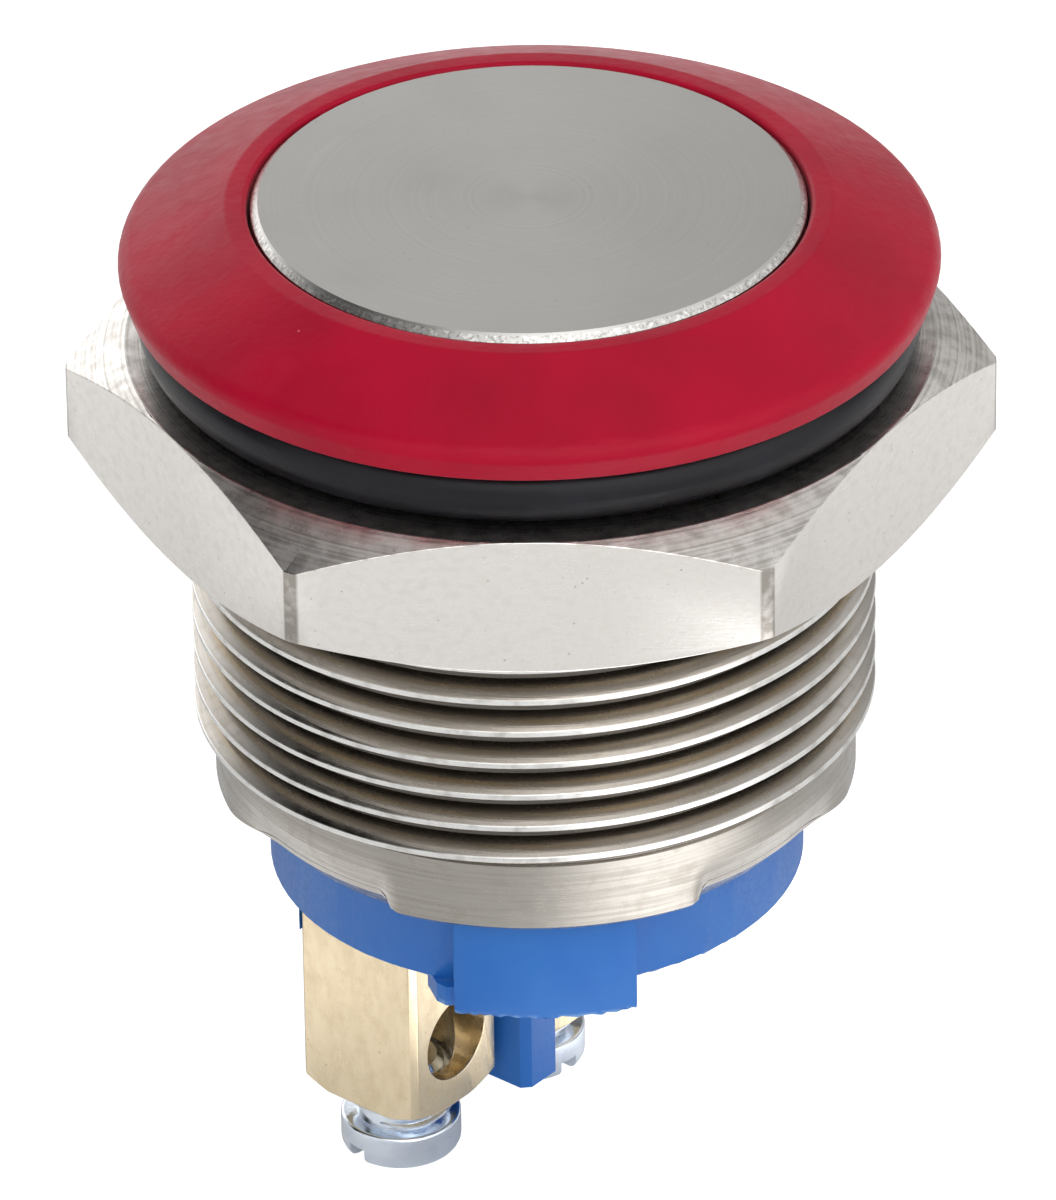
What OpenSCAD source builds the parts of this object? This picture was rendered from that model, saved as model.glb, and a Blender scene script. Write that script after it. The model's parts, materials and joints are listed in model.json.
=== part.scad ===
// Vandal-resistant panel push button for a 19 mm round hole.
// A flush metal button in a domed coloured bezel, a threaded bushing with its seal ring and
// hexagon nut, and a moulded contact block with two screw terminals held in by a crimped skirt.
// The origin is on the axis, on the underside of the bezel where the panel seats.
// +Z points out of the button's face, and the marking tab of the base faces -Y.

/* [Button] */
// Height of the button's face above the panel seat
button_rise = 2.4; // [2:0.05:3]
// Thickness of the button's visible disc
button_disc_t = 1.7; // [1.4:0.05:1.8]
// Bright chamfer round the button's face
button_chamfer = 0.2; // [0.05:0.05:0.4]
// Gap between the button and the bezel, on the radius
button_gap = 0.1; // [0.05:0.01:0.2]
// Full travel of the button
button_travel = 1.2; // [0.8:0.05:1.3]
// Gap between the button's stem and its guide, on the radius
guide_gap = 0.05; // [0.02:0.01:0.1]
// Thickness of the stem's land below the retaining clip
stem_land_t = 0.5; // [0.4:0.05:0.7]
// Depth of the stem's step down to the land
stem_step = 0.95; // [0.7:0.05:1.1]

/* [Bezel] */
// Width of the bezel's face, from the opening to the widest part of the rim
bezel_face_w = 3.52; // [3.2:0.01:4.2]
// Height of the bezel's inner land above the panel seat
bezel_h = 2.31; // [2.1:0.01:2.8]
// Width of the flat land round the opening
bezel_land = 0.6; // [0.3:0.01:1]
// Radius of the dome's rounded rim
bezel_rim_r = 0.6; // [0.4:0.05:0.7]
// How far the rim draws in from its widest to the panel seat
bezel_undercut = 0.19; // [0.05:0.01:0.4]
// Wall of the bezel round the bushing's head
bezel_wall = 1.3; // [1:0.05:1.6]
// Height of the bushing's head
head_h = 0.9; // [0.7:0.05:1]
// Gap of the pressed seat between bezel and head, on the radius
bezel_fit = 0.02; // [0.01:0.01:0.05]

/* [Bushing] */
// Radius over the thread's crests
thread_r = 9.415; // [9.35:0.005:9.6]
// Length of the thread
thread_h = 11; // [10.5:0.5:14]
// Pitch of the thread
thread_pitch = 1; // [0.75:0.25:1.5]
// Depth of the thread
thread_depth = 0.595; // [0.4:0.005:0.65]
// Width of the narrow land on a crest
thread_crest = 0.125; // [0.05:0.005:0.2]
// Length of the plain neck between the panel seat and the thread
neck_h = 2.34; // [2:0.01:3]
// Step from the thread's crests in to the neck, which the seal ring sits on
neck_step = 0.515; // [0.3:0.005:0.6]
// Step from the thread's crests in to the plain skirt
skirt_step = 0.535; // [0.4:0.005:0.6]
// Wall of the skirt
skirt_wall = 0.88; // [0.7:0.01:1]
// Length of the skirt
skirt_h = 2.14; // [1.8:0.01:3]
// Wall between the thread's root and the well that the button sits in
well_wall = 1.19; // [1:0.01:1.4]
// Gap left under the button's disc when it is pressed
well_clearance = 0.5; // [0.3:0.05:0.9]
// Shoulder between the guide bore and the bay for the retaining clip
guide_shoulder = 1.4; // [1:0.05:1.6]
// Shoulder between that bay and the cavity for the contact block
bay_shoulder = 0.6; // [0.4:0.05:0.8]
// Gap left under the button's stem when it is pressed, above the bay's shoulder
bay_clearance = 0.15; // [0.1:0.05:0.5]
// Chamfer on the bushing's outer edges
bushing_chamfer = 0.12; // [0.05:0.01:0.2]

/* [Crimps] */
// Number of places where the skirt is pressed in over the base
crimp_count = 4; // [3:1:6]
// Width of each crimp round the axis
crimp_angle = 39; // [20:1:50]
// Width of the half-pressed shoulder on each side of a crimp
crimp_ease = 5.5; // [2:0.5:8]
// Share of the full press on that shoulder
crimp_share = 0.5; // [0.3:0.05:0.7]
// Height of the crimped lip
crimp_h = 1.28; // [1:0.01:1.6]
// How far the lip's edge rises as it bends
crimp_lift = 0.1; // [0:0.01:0.3]

/* [Panel seal] */
// Thickness of the seal ring's cord
seal_t = 1.78; // [1.5:0.01:2]

/* [Panel nut] */
// Wall of the nut between the thread's crests and a flat
nut_wall = 1.635; // [1.4:0.005:2.6]
// Thickness of the nut
nut_t = 4; // [3:0.1:5]
// Amount that the hexagon's corners are turned off
nut_corner_cut = 0.09; // [0.02:0.01:0.3]
// Slope of the chamfers on the nut's faces
nut_chamfer_slope = 30; // [15:1:35]
// Gap between the seal ring and the nut
nut_seat_gap = 0.07; // [0.02:0.01:0.4]
// Gap between the nut's bore and the thread's crests, on the radius
nut_fit = 0.06; // [0.03:0.01:0.1]
// Chamfer at the mouths of the nut's bore
nut_mouth = 0.4; // [0.2:0.05:0.6]
// Angle that the nut is turned to
nut_turn = -2; // [-30:0.1:30]

/* [Stem seal and clip] */
// Depth of the stem seal's groove below the guide bore
stem_groove_depth = 1.2; // [1:0.05:1.4]
// Width of the stem seal's groove
stem_groove_w = 1.5; // [1.3:0.05:1.8]
// How far the groove stays inside the guide bore when the button is pressed
stem_groove_cover = 0.2; // [0.1:0.05:0.5]
// Gap between the stem seal and the guide bore
stem_seal_gap = 0.03; // [0.01:0.01:0.05]
// Thickness of the retaining clip
clip_t = 0.55; // [0.4:0.05:0.7]
// Gap between the retaining clip and its bay, on the radius
clip_gap = 0.5; // [0.3:0.05:0.7]
// Depth that the clip reaches into the stem, from the guide bore
clip_bite = 1.45; // [1.3:0.05:1.6]
// Opening of the clip
clip_mouth = 5; // [3:0.1:6]
// Gap between the clip and the stop that it meets at rest
stop_gap = 0.05; // [0.02:0.01:0.1]
// Gap between a seated ring and its groove
groove_fit = 0.05; // [0.02:0.01:0.1]

/* [Contacts] */
// Radius of a contact tip
tip_r = 0.9; // [0.6:0.05:1.1]
// Height of a fixed contact tip
fixed_tip_h = 0.4; // [0.3:0.05:0.5]
// Height of a moving contact tip
bridge_tip_h = 0.3; // [0.2:0.05:0.4]
// Open gap between the contact tips at rest
contact_gap = 0.8; // [0.5:0.05:0.9]
// Thickness of a fixed contact's strip
strip_t = 0.5; // [0.4:0.05:0.7]
// Radius of a fixed contact's round ends
strip_end_r = 1.4; // [1.35:0.05:1.45]
// Width of a fixed contact between its ends
strip_w = 2.2; // [1.8:0.1:2.6]
// Thickness of the contact bridge
bridge_t = 0.4; // [0.3:0.05:0.5]
// Width of the contact bridge
bridge_w = 4.6; // [4.2:0.1:5]
// Margin of the bridge's ends past its tips
bridge_margin = 0.3; // [0.1:0.05:0.4]
// Radius of the carrier's post
post_r = 1.6; // [1.5:0.05:1.65]
// Radius of the carrier's pin inside the return spring
pin_r = 1.15; // [1:0.05:1.2]
// Length of the carrier's pin
pin_h = 3.5; // [2.5:0.1:3.6]
// Chamfer at the pin's tip
pin_chamfer = 0.2; // [0.1:0.05:0.4]
// Height of the carrier's head
carrier_head_h = 1.4; // [1.2:0.05:1.6]
// Radius of the carrier's head
carrier_head_r = 3; // [2.8:0.05:3.2]
// Running gap of the carrier in its guide, and of the bridge on its post, on the radius
carrier_gap = 0.08; // [0.04:0.01:0.1]
// Radius of the washer that holds the bridge on its post
bridge_washer_r = 1.95; // [1.9:0.05:2]
// Thickness of that washer
bridge_washer_t = 0.4; // [0.3:0.05:0.5]

/* [Springs] */
// Height of the contact spring at rest
contact_spring_h = 3; // [2.6:0.05:3.2]
// Wire thickness of the contact spring
contact_wire = 0.3; // [0.2:0.05:0.35]
// Turns of the contact spring
contact_turns = 5; // [4:0.5:6]
// Height of the return spring at rest
return_spring_h = 5.05; // [4.8:0.05:5.4]
// Wire thickness of the return spring
return_wire = 0.35; // [0.25:0.05:0.35]
// Turns of the return spring
return_turns = 7; // [5:0.5:8]
// Gap between a spring and what it is wound round
spring_gap = 0.22; // [0.15:0.01:0.3]

/* [Contact block] */
// Thickness of the gasket above the contact block
gasket_t = 0.65; // [0.4:0.05:0.8]
// Width of that gasket
gasket_w = 1.3; // [1:0.05:1.6]
// Thickness of the block's cover
cover_t = 1; // [0.8:0.05:1.2]
// Height of the cover's hub above its plate
cover_hub_h = 0.6; // [0.3:0.05:0.7]
// Wall of the cover's hub
cover_hub_wall = 1; // [0.7:0.05:1.3]
// Height of the cover's spigot inside the base
cover_spigot_h = 0.6; // [0.3:0.05:0.8]
// Step from the bushing's cavity in to the base below the skirt
base_step = 0.57; // [0.4:0.01:0.7]
// Gap between the block and the bushing's cavity, on the radius
block_fit = 0.05; // [0.03:0.01:0.08]
// Wall of the base round its contact chamber
base_wall = 1.05; // [0.9:0.05:1.3]
// Height of the chamber's floor above the crimped shoulder
floor_rise = 0.8; // [0.5:0.05:1]
// Depth of the base below the skirt
base_drop = 2.82; // [2.5:0.02:3.6]
// Gap round the return spring in its pocket
pocket_gap = 0.25; // [0.15:0.05:0.3]
// Width of the marking tab
tab_w = 5; // [4:0.1:6]
// How far the marking tab's outer face stands out from the base
tab_reach = 0.77; // [0.5:0.01:1]
// Depth of the marking tab below the base
tab_drop = 0.45; // [0.3:0.05:1.2]
// Thickness of the marking tab
tab_t = 1.9; // [1.2:0.05:2.4]
// Width of the rib beside the tab, where it meets the base
rib_w = 0.7; // [0.5:0.02:1]
// Width of the rib's narrow front
rib_front_w = 0.22; // [0.1:0.02:0.4]
// Size of the slope between the rib's front and its side
rib_slope = 0.25; // [0.1:0.01:0.3]
// How far the rib stands back from the tab's face
rib_back = 0.85; // [0.6:0.05:1.1]
// Depth of the rib below the base
rib_drop = 0.5; // [0.2:0.05:1]
// Thickness of the barrier between the terminals
barrier_t = 1.3; // [1:0.05:1.5]
// Depth of the barrier below the base
barrier_drop = 7.95; // [6:0.05:8.5]
// How far the barrier stands in front of the axis
barrier_front = 0.04; // [0:0.02:0.4]
// Thickness of the wall behind the terminals
back_wall_t = 0.75; // [0.6:0.05:0.9]
// Depth of the wall behind the terminals below the base
back_wall_drop = 2.5; // [1.5:0.1:3.2]
// How far the wall's round ends stand inside the base
back_wall_inset = 0.74; // [0.5:0.02:1]

/* [Terminals] */
// Angle of the terminals' line from the X axis
terminal_turn = 49.4; // [44:0.1:55]
// Gap between a terminal bar and the barrier
bar_gap = 0.3; // [0.25:0.01:0.5]
// How far the terminals' axes stand inside the circle of the contact tips
terminal_inset = 0.475; // [0.4:0.005:0.6]
// Width of a terminal bar along the terminals' line
bar_w = 3.7; // [3.4:0.05:3.9]
// Depth of a terminal bar, along its wire hole
bar_d = 4.15; // [3.9:0.05:4.3]
// Flat on a terminal bar's long corners
bar_corner = 0.18; // [0.1:0.01:0.4]
// Length of a terminal bar below the base
bar_drop = 7.5; // [6.5:0.1:8]
// Depth that a bar is let into the base
bar_sink = 0.6; // [0.4:0.05:0.8]
// Radius of the turned end face of a bar
bar_end_r = 2.15; // [1.9:0.05:2.3]
// Slope of the turned chamfer at a bar's end
bar_end_slope = 30; // [20:1:45]
// Radius of the wire hole
wire_hole_r = 1.25; // [1:0.05:1.4]
// Height of the wire hole's centre above the bar's end
wire_hole_h = 2.15; // [1.9:0.05:2.5]
// Radius of a bar's riveted shank
rivet_r = 1.1; // [0.9:0.05:1.1]
// Radius of the rivet's formed head
rivet_head_r = 1.35; // [1.3:0.05:1.4]
// Height of the rivet's formed head
rivet_head_h = 0.4; // [0.3:0.05:0.5]
// Gap of a bar and its rivet in the base
rivet_fit = 0.02; // [0.01:0.01:0.05]

/* [Terminal screws] */
// Radius of the screw's shank
screw_r = 1.5; // [1.25:0.05:1.5]
// Length of the screw's shank
screw_h = 1.8; // [1.4:0.05:1.85]
// Chamfer at the shank's tip
screw_tip_chamfer = 0.2; // [0.1:0.05:0.4]
// Radius of the screw's head
screw_head_r = 1.7; // [1.65:0.05:1.85]
// Height of the screw's head
screw_head_h = 1.1; // [0.8:0.05:1.4]
// Rounding of the head's edge, as a chamfer
screw_head_chamfer = 0.15; // [0.05:0.01:0.3]
// Width of the screw's slot
slot_w = 0.6; // [0.4:0.05:0.8]
// Depth of the screw's slot
slot_d = 0.5; // [0.3:0.05:0.7]
// How far the screws are backed out
screw_back_out = 1; // [0.3:0.05:1.2]
// Gap between a screw and its hole, on the radius
screw_fit = 0.05; // [0.02:0.01:0.1]
// Angle of the first screw's slot
slot_turn_a = 171; // [0:1:180]
// Angle of the second screw's slot
slot_turn_b = 86; // [0:1:180]

/* [Hidden] */
$fn = 96;
// Small overlap that lets cuts pass through a face
cut = 0.1;
// Broken edge of the bezel's opening and of the base's foot
bezel_edge = 0.08;
base_edge = 0.12;
// Narrowest flat left between two teeth at the thread's root
root_flat = 0.04;
// Direction that the marking tab faces
tab_angle = -90;
// Sides of a spring's wire and steps in one of its turns
wire_sides = 8;
turn_steps = 20;
// Points along a quarter of a rounded profile, and round a seal ring's cord
arc_steps = 8;
cord_sides = 48;

// Radii, from the thread inward and outward
thread_root_r = thread_r - thread_depth;
neck_r = thread_r - neck_step;
skirt_r = thread_r - skirt_step;
cavity_r = skirt_r - skirt_wall;
clip_bay_r = cavity_r - bay_shoulder;
guide_r = clip_bay_r - guide_shoulder;
bezel_hole_r = thread_root_r - well_wall;
bezel_r = bezel_hole_r + bezel_face_w;
head_r = bezel_r - bezel_wall;
nut_bore_r = thread_r + nut_fit;
nut_flats = 2 * (thread_r + nut_wall);
button_r = bezel_hole_r - button_gap;
stem_r = guide_r - guide_gap;
stem_groove_r = guide_r - stem_groove_depth;
land_r = stem_r - stem_step;
clip_r = clip_bay_r - clip_gap;
clip_bore_r = guide_r - clip_bite;
block_r = cavity_r - block_fit;
base_r = cavity_r - base_step;
tab_r = base_r + tab_reach;
chamber_r = block_r - base_wall;
lip_shift = base_step - block_fit;
hub_bore_r = carrier_head_r + carrier_gap;
contact_coil_r = post_r + carrier_gap + spring_gap + contact_wire / 2;
return_coil_r = pin_r + spring_gap + return_wire / 2;
pocket_r = return_coil_r + return_wire / 2 + pocket_gap;

// Places of the contact tips and of the terminals
tip_reach = (pocket_r + chamber_r) / 2;
terminal_half_pitch = (barrier_t + bar_w) / 2 + bar_gap;
terminal_back = sqrt((tip_reach - terminal_inset) ^ 2 - terminal_half_pitch ^ 2);

// Levels below the thread, from its end down
thread_turns = floor(thread_h / thread_pitch);
thread_end = -neck_h - thread_h;
skirt_end = thread_end - skirt_h;
base_end = skirt_end - base_drop;
bar_top = base_end + bar_sink;
bar_end = base_end - bar_drop;
screw_head_top = bar_end - screw_back_out;

// Levels inside, from the crimped shoulder up to the stem
crimp_top = skirt_end + crimp_h;
floor_top = crimp_top + floor_rise;
strip_top = floor_top + strip_t;
fixed_tip_top = strip_top + fixed_tip_h;
bridge_end = fixed_tip_top + contact_gap + bridge_tip_h;
bridge_top = bridge_end + bridge_t;
head_end = bridge_top + contact_spring_h;
stem_end = head_end + carrier_head_h;
clip_end = stem_end + stem_land_t;
clip_top = clip_end + clip_t;
guide_end = clip_top + stop_gap;
groove_end = guide_end + button_travel + stem_groove_cover;
groove_top = groove_end + stem_groove_w;
cavity_top = stem_end - button_travel - bay_clearance;
cover_top = cavity_top - gasket_t;
cover_end = cover_top - cover_t;
washer_top = bridge_end - stop_gap;
washer_end = washer_top - bridge_washer_t;
pocket_end = washer_end - return_spring_h;

// Levels at the button and at the nut
head_top = head_h;
disc_bottom = button_rise - button_disc_t;
well_floor = disc_bottom - button_travel - well_clearance;
nut_top = -seal_t - nut_seat_gap;

// Points on an arc about a centre, from one angle to another
function arc(centre, radius, from, to, steps = arc_steps) = [
    for (i = [0 : steps])
        let (a = from + (to - from) * i / steps)
        centre + radius * [cos(a), sin(a)]
];

// Height of a coil's wire after a number of turns, with one closed turn at each end
function coil_rise(turn, turns, wire, height) =
    let (open_rise = (height - 3 * wire) / (turns - 2))
    turn < 1 ? turn * wire :
    turn > turns - 1 ? height - wire - (turns - turn) * wire :
    wire + (turn - 1) * open_rise;

// Points round the wire at one step of a coil
function coil_ring(step, radius, wire, turns, height) =
    let (
        turn = step / turn_steps,
        a = turn * 360,
        rise = coil_rise(turn, turns, wire, height) + wire / 2
    )
    [
        for (side = [0 : wire_sides - 1])
            let (
                b = side * 360 / wire_sides,
                reach = radius + wire / 2 * cos(b)
            )
            [reach * cos(a), reach * sin(a), rise + wire / 2 * sin(b)]
    ];

// A compression spring that stands on the XY plane
module coil_spring(radius, wire, turns, height) {
    last = round(turns * turn_steps);
    points = [
        for (step = [0 : last])
            each coil_ring(step, radius, wire, turns, height)
    ];
    sides = [
        for (step = [0 : last - 1], side = [0 : wire_sides - 1])
            let (
                here = step * wire_sides,
                next = (side + 1) % wire_sides
            )
            [here + side, here + wire_sides + side, here + wire_sides + next, here + next]
    ];
    start_cap = [for (side = [0 : wire_sides - 1]) side];
    end_cap = [for (side = [wire_sides - 1 : -1 : 0]) last * wire_sides + side];
    polyhedron(points, concat(sides, [start_cap, end_cap]), convexity = 10);
}

// A ring with a square section, from one level up to another
module ring(outer_r, inner_r, low, high) {
    translate([0, 0, low])
        difference() {
            cylinder(r = outer_r, h = high - low);
            translate([0, 0, -cut])
                cylinder(r = inner_r, h = high - low + 2 * cut);
        }
}

// A ring with a round section, such as a seal ring
module cord_ring(inner_r, thickness, top) {
    translate([0, 0, top - thickness / 2])
        rotate_extrude()
            translate([inner_r + thickness / 2, 0])
                circle(d = thickness, $fn = cord_sides);
}

// Moves its children to one terminal: -1 for the first and 1 for the second
module at_terminal(side) {
    rotate([0, 0, terminal_turn])
        translate([side * terminal_half_pitch, terminal_back, 0])
            children();
}

// The coloured dome pressed over the bushing's head
module bezel() {
    rim_centre = [bezel_r - bezel_rim_r, bezel_rim_r];
    crown = [bezel_hole_r + bezel_land, bezel_h];
    fall = rim_centre - crown;
    dome_slope = -atan2(fall.y, fall.x) - asin(bezel_rim_r / norm(fall));
    color([0.69, 0.05, 0.16])
        rotate_extrude()
            polygon(concat(
                arc(rim_centre, bezel_rim_r, 0, 90 - dome_slope),
                [
                    crown,
                    [bezel_hole_r + bezel_edge, bezel_h],
                    [bezel_hole_r, bezel_h - bezel_edge],
                    [bezel_hole_r, head_top],
                    [head_r + bezel_fit, head_top],
                    [head_r + bezel_fit, 0],
                    [bezel_r - bezel_undercut, 0]
                ]
            ));
}

// The flush stainless button with its guided stem
module button() {
    color([0.62, 0.61, 0.59])
        rotate_extrude()
            polygon([
                [0, button_rise],
                [button_r - button_chamfer, button_rise],
                [button_r, button_rise - button_chamfer],
                [button_r, disc_bottom],
                [stem_r, disc_bottom],
                [stem_r, groove_top],
                [stem_groove_r, groove_top],
                [stem_groove_r, groove_end],
                [stem_r, groove_end],
                [stem_r, clip_top],
                [clip_bore_r - groove_fit, clip_top],
                [clip_bore_r - groove_fit, clip_end],
                [land_r, clip_end],
                [land_r, stem_end],
                [0, stem_end]
            ]);
}

// The rubber ring that seals the button's stem
module button_seal() {
    seal_section = guide_r - stem_seal_gap - stem_groove_r;
    color([0.1, 0.1, 0.1])
        cord_ring(stem_groove_r, seal_section, groove_end + (stem_groove_w + seal_section) / 2);
}

// The open clip that keeps the button in the bushing
module retaining_clip() {
    color([0.5, 0.5, 0.52])
        difference() {
            ring(clip_r, clip_bore_r, clip_end, clip_top);
            translate([0, -clip_mouth / 2, clip_end - cut])
                cube([clip_r + cut, clip_mouth, clip_t + 2 * cut]);
        }
}

// One tooth of the thread, as points from its upper to its lower edge
function thread_tooth(index) =
    let (
        top = -neck_h - index * thread_pitch,
        mid = top - thread_pitch / 2,
        flank = thread_depth * tan(30),
        foot = min(flank + thread_crest / 2, (thread_pitch - root_flat) / 2)
    )
    [
        [thread_root_r, mid + foot],
        [thread_r, mid + thread_crest / 2],
        [thread_r, mid - thread_crest / 2],
        [thread_root_r, mid - foot]
    ];

// Outline of the bushing's wall before the skirt is crimped
module bushing_profile() {
    polygon(concat(
        [
            [bezel_hole_r, head_top],
            [head_r - bushing_chamfer, head_top],
            [head_r, head_top - bushing_chamfer],
            [head_r, 0],
            [neck_r, 0],
            [neck_r, -neck_h + bushing_chamfer],
            [thread_root_r, -neck_h]
        ],
        [for (i = [0 : thread_turns - 1]) each thread_tooth(i)],
        [
            [thread_root_r, thread_end],
            [skirt_r, thread_end - bushing_chamfer],
            [skirt_r, skirt_end + bushing_chamfer],
            [skirt_r - bushing_chamfer, skirt_end],
            [cavity_r, skirt_end],
            [cavity_r, cavity_top],
            [clip_bay_r, cavity_top],
            [clip_bay_r, guide_end],
            [guide_r, guide_end],
            [guide_r, well_floor],
            [bezel_hole_r, well_floor]
        ]
    ));
}

// Moves its children to the middle of an angle that they fill
module centred_on(angle) {
    rotate([0, 0, -angle / 2])
        children();
}

// The material that a crimp pushes inward, by a share of its full shift
module lip_inside(share, angle) {
    lean = lip_shift * share;
    lip_end = skirt_end + crimp_lift * share;
    slope = lean / (crimp_top - lip_end);
    centred_on(angle)
        rotate_extrude(angle = angle)
            polygon([
                [cavity_r + cut * slope, crimp_top + cut],
                [cavity_r - lean, lip_end],
                [cavity_r + 2 * cut, lip_end],
                [cavity_r + 2 * cut, crimp_top + cut]
            ]);
}

// What a crimp takes off the outside and the edge of the skirt
module lip_outside(share, angle) {
    lean = lip_shift * share;
    lip_end = skirt_end + crimp_lift * share;
    slope = lean / (crimp_top - lip_end);
    centred_on(angle)
        rotate_extrude(angle = angle)
            polygon([
                [skirt_r + cut * slope, crimp_top + cut],
                [skirt_r - lean + bushing_chamfer * slope, lip_end + bushing_chamfer],
                [skirt_r - lean - bushing_chamfer, lip_end],
                [cavity_r - lip_shift - cut, lip_end],
                [cavity_r - lip_shift - cut, skirt_end - cut],
                [skirt_r + cut, skirt_end - cut],
                [skirt_r + cut, crimp_top + cut]
            ]);
}

// Places its children at each crimp, midway between the base's marking tab and its neighbours
module at_crimps() {
    for (i = [0 : crimp_count - 1])
        rotate([0, 0, tab_angle + (i + 0.5) * 360 / crimp_count])
            children();
}

// The threaded bushing with its crimped skirt
module bushing() {
    full_angle = crimp_angle - 2 * crimp_ease;
    color([0.72, 0.7, 0.67])
        difference() {
            union() {
                rotate_extrude()
                    bushing_profile();
                at_crimps() {
                    lip_inside(crimp_share, crimp_angle);
                    lip_inside(1, full_angle);
                }
            }
            at_crimps() {
                lip_outside(crimp_share, crimp_angle);
                lip_outside(1, full_angle);
            }
        }
}

// The rubber ring between the bezel and the panel
module panel_seal() {
    color([0.06, 0.06, 0.08])
        cord_ring(neck_r, seal_t, 0);
}

// The hexagon nut, chamfered on both faces
module panel_nut() {
    corner_r = nut_flats / 2 / cos(30);
    turned_r = corner_r - nut_corner_cut;
    slope_drop = (turned_r - nut_flats / 2) * tan(nut_chamfer_slope);
    color([0.8, 0.78, 0.75])
        translate([0, 0, nut_top - nut_t])
            rotate([0, 0, nut_turn])
                difference() {
                    intersection() {
                        cylinder(r = corner_r, h = nut_t, $fn = 6);
                        rotate_extrude()
                            polygon([
                                [0, 0],
                                [nut_flats / 2, 0],
                                [turned_r, slope_drop],
                                [turned_r, nut_t - slope_drop],
                                [nut_flats / 2, nut_t],
                                [0, nut_t]
                            ]);
                    }
                    rotate_extrude()
                        polygon([
                            [0, -cut],
                            [nut_bore_r + nut_mouth + cut, -cut],
                            [nut_bore_r, nut_mouth],
                            [nut_bore_r, nut_t - nut_mouth],
                            [nut_bore_r + nut_mouth + cut, nut_t + cut],
                            [0, nut_t + cut]
                        ]);
                }
}

// The gasket squeezed between the bushing's shoulder and the contact block
module cover_gasket() {
    color([0.12, 0.12, 0.12])
        ring(block_r, block_r - gasket_w, cover_top, cavity_top);
}

// The cover that closes the contact chamber and guides the carrier
module contact_cover() {
    hub_r = hub_bore_r + cover_hub_wall;
    spigot_r = chamber_r - block_fit;
    color([0.13, 0.13, 0.14])
        union() {
            ring(block_r, hub_bore_r, cover_end, cover_top);
            ring(hub_r, hub_bore_r, cover_end, cover_top + cover_hub_h);
            ring(spigot_r, spigot_r - base_wall, cover_end - cover_spigot_h, cover_end + cut);
        }
}

// The moulded carrier that takes the button's push to the contact bridge
module contact_carrier() {
    color([0.9, 0.88, 0.82])
        rotate_extrude()
            polygon([
                [0, stem_end],
                [carrier_head_r, stem_end],
                [carrier_head_r, head_end],
                [post_r, head_end],
                [post_r, washer_top],
                [pin_r, washer_top],
                [pin_r, washer_top - pin_h + pin_chamfer],
                [pin_r - pin_chamfer, washer_top - pin_h],
                [0, washer_top - pin_h]
            ]);
}

// The spring that presses the bridge onto the contacts
module contact_spring() {
    color([0.75, 0.75, 0.77])
        translate([0, 0, bridge_top])
            coil_spring(contact_coil_r, contact_wire, contact_turns, contact_spring_h);
}

// The strip that joins the two fixed contacts when the button is pressed
module contact_bridge() {
    color([0.78, 0.62, 0.36])
        rotate([0, 0, terminal_turn])
            translate([0, 0, bridge_end])
                linear_extrude(height = bridge_t)
                    difference() {
                        intersection() {
                            square([2 * (tip_reach + tip_r + bridge_margin), bridge_w], center = true);
                            circle(r = tip_reach + tip_r + bridge_margin);
                        }
                        circle(r = post_r + carrier_gap);
                    }
}

// The silver tips under the bridge
module bridge_tips() {
    color([0.88, 0.88, 0.9])
        rotate([0, 0, terminal_turn])
            for (side = [-1, 1])
                translate([side * tip_reach, 0, bridge_end - bridge_tip_h])
                    cylinder(r = tip_r, h = bridge_tip_h);
}

// The push-on washer that holds the bridge on its post
module bridge_washer() {
    color([0.6, 0.6, 0.62])
        ring(bridge_washer_r, pin_r + groove_fit / 2, washer_end, washer_top);
}

// The spring that returns the button
module return_spring() {
    color([0.75, 0.75, 0.77])
        translate([0, 0, pocket_end])
            coil_spring(return_coil_r, return_wire, return_turns, return_spring_h);
}

// A strip from one terminal's rivet to the place under the bridge's tip
module fixed_contact(side) {
    rivet_at = [side * terminal_half_pitch, terminal_back];
    tip_at = [side * tip_reach, 0];
    run = tip_at - rivet_at;
    color([0.78, 0.62, 0.36])
        rotate([0, 0, terminal_turn])
            translate([0, 0, floor_top])
                linear_extrude(height = strip_t)
                    difference() {
                        union() {
                            translate(rivet_at)
                                circle(r = strip_end_r);
                            translate(tip_at)
                                circle(r = strip_end_r);
                            translate(rivet_at)
                                rotate(atan2(run.y, run.x))
                                    translate([0, -strip_w / 2])
                                        square([norm(run), strip_w]);
                        }
                        translate(rivet_at)
                            circle(r = rivet_r + rivet_fit);
                    }
}

module fixed_contact_a() {
    fixed_contact(-1);
}

module fixed_contact_b() {
    fixed_contact(1);
}

// The silver tips on the fixed contacts
module fixed_tips() {
    color([0.88, 0.88, 0.9])
        rotate([0, 0, terminal_turn])
            for (side = [-1, 1])
                translate([side * tip_reach, 0, strip_top])
                    cylinder(r = tip_r, h = fixed_tip_h);
}

// Outline of the round part of the base
module base_profile() {
    polygon([
        [0, floor_top],
        [chamber_r, floor_top],
        [chamber_r, cover_end],
        [block_r, cover_end],
        [block_r, crimp_top],
        [base_r, skirt_end + crimp_lift],
        [base_r, base_end + base_edge],
        [base_r - base_edge, base_end],
        [0, base_end]
    ]);
}

// The marking tab and the rib beside it
module marking_tab() {
    tab_top = skirt_end - block_fit;
    tab_end = base_end - tab_drop;
    intersection() {
        translate([0, 0, tab_end])
            cylinder(r = tab_r, h = tab_top - tab_end);
        translate([-tab_w / 2, -tab_r - cut, tab_end])
            cube([tab_w, tab_t + cut, tab_top - tab_end]);
    }
    translate([-tab_w / 2, -tab_r + rib_back, base_end - rib_drop])
        linear_extrude(height = rib_drop + cut)
            polygon([
                [cut, 0],
                [-rib_front_w, 0],
                [-rib_front_w - rib_slope, rib_slope],
                [-rib_w, tab_t - rib_back],
                [cut, tab_t - rib_back]
            ]);
}

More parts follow.
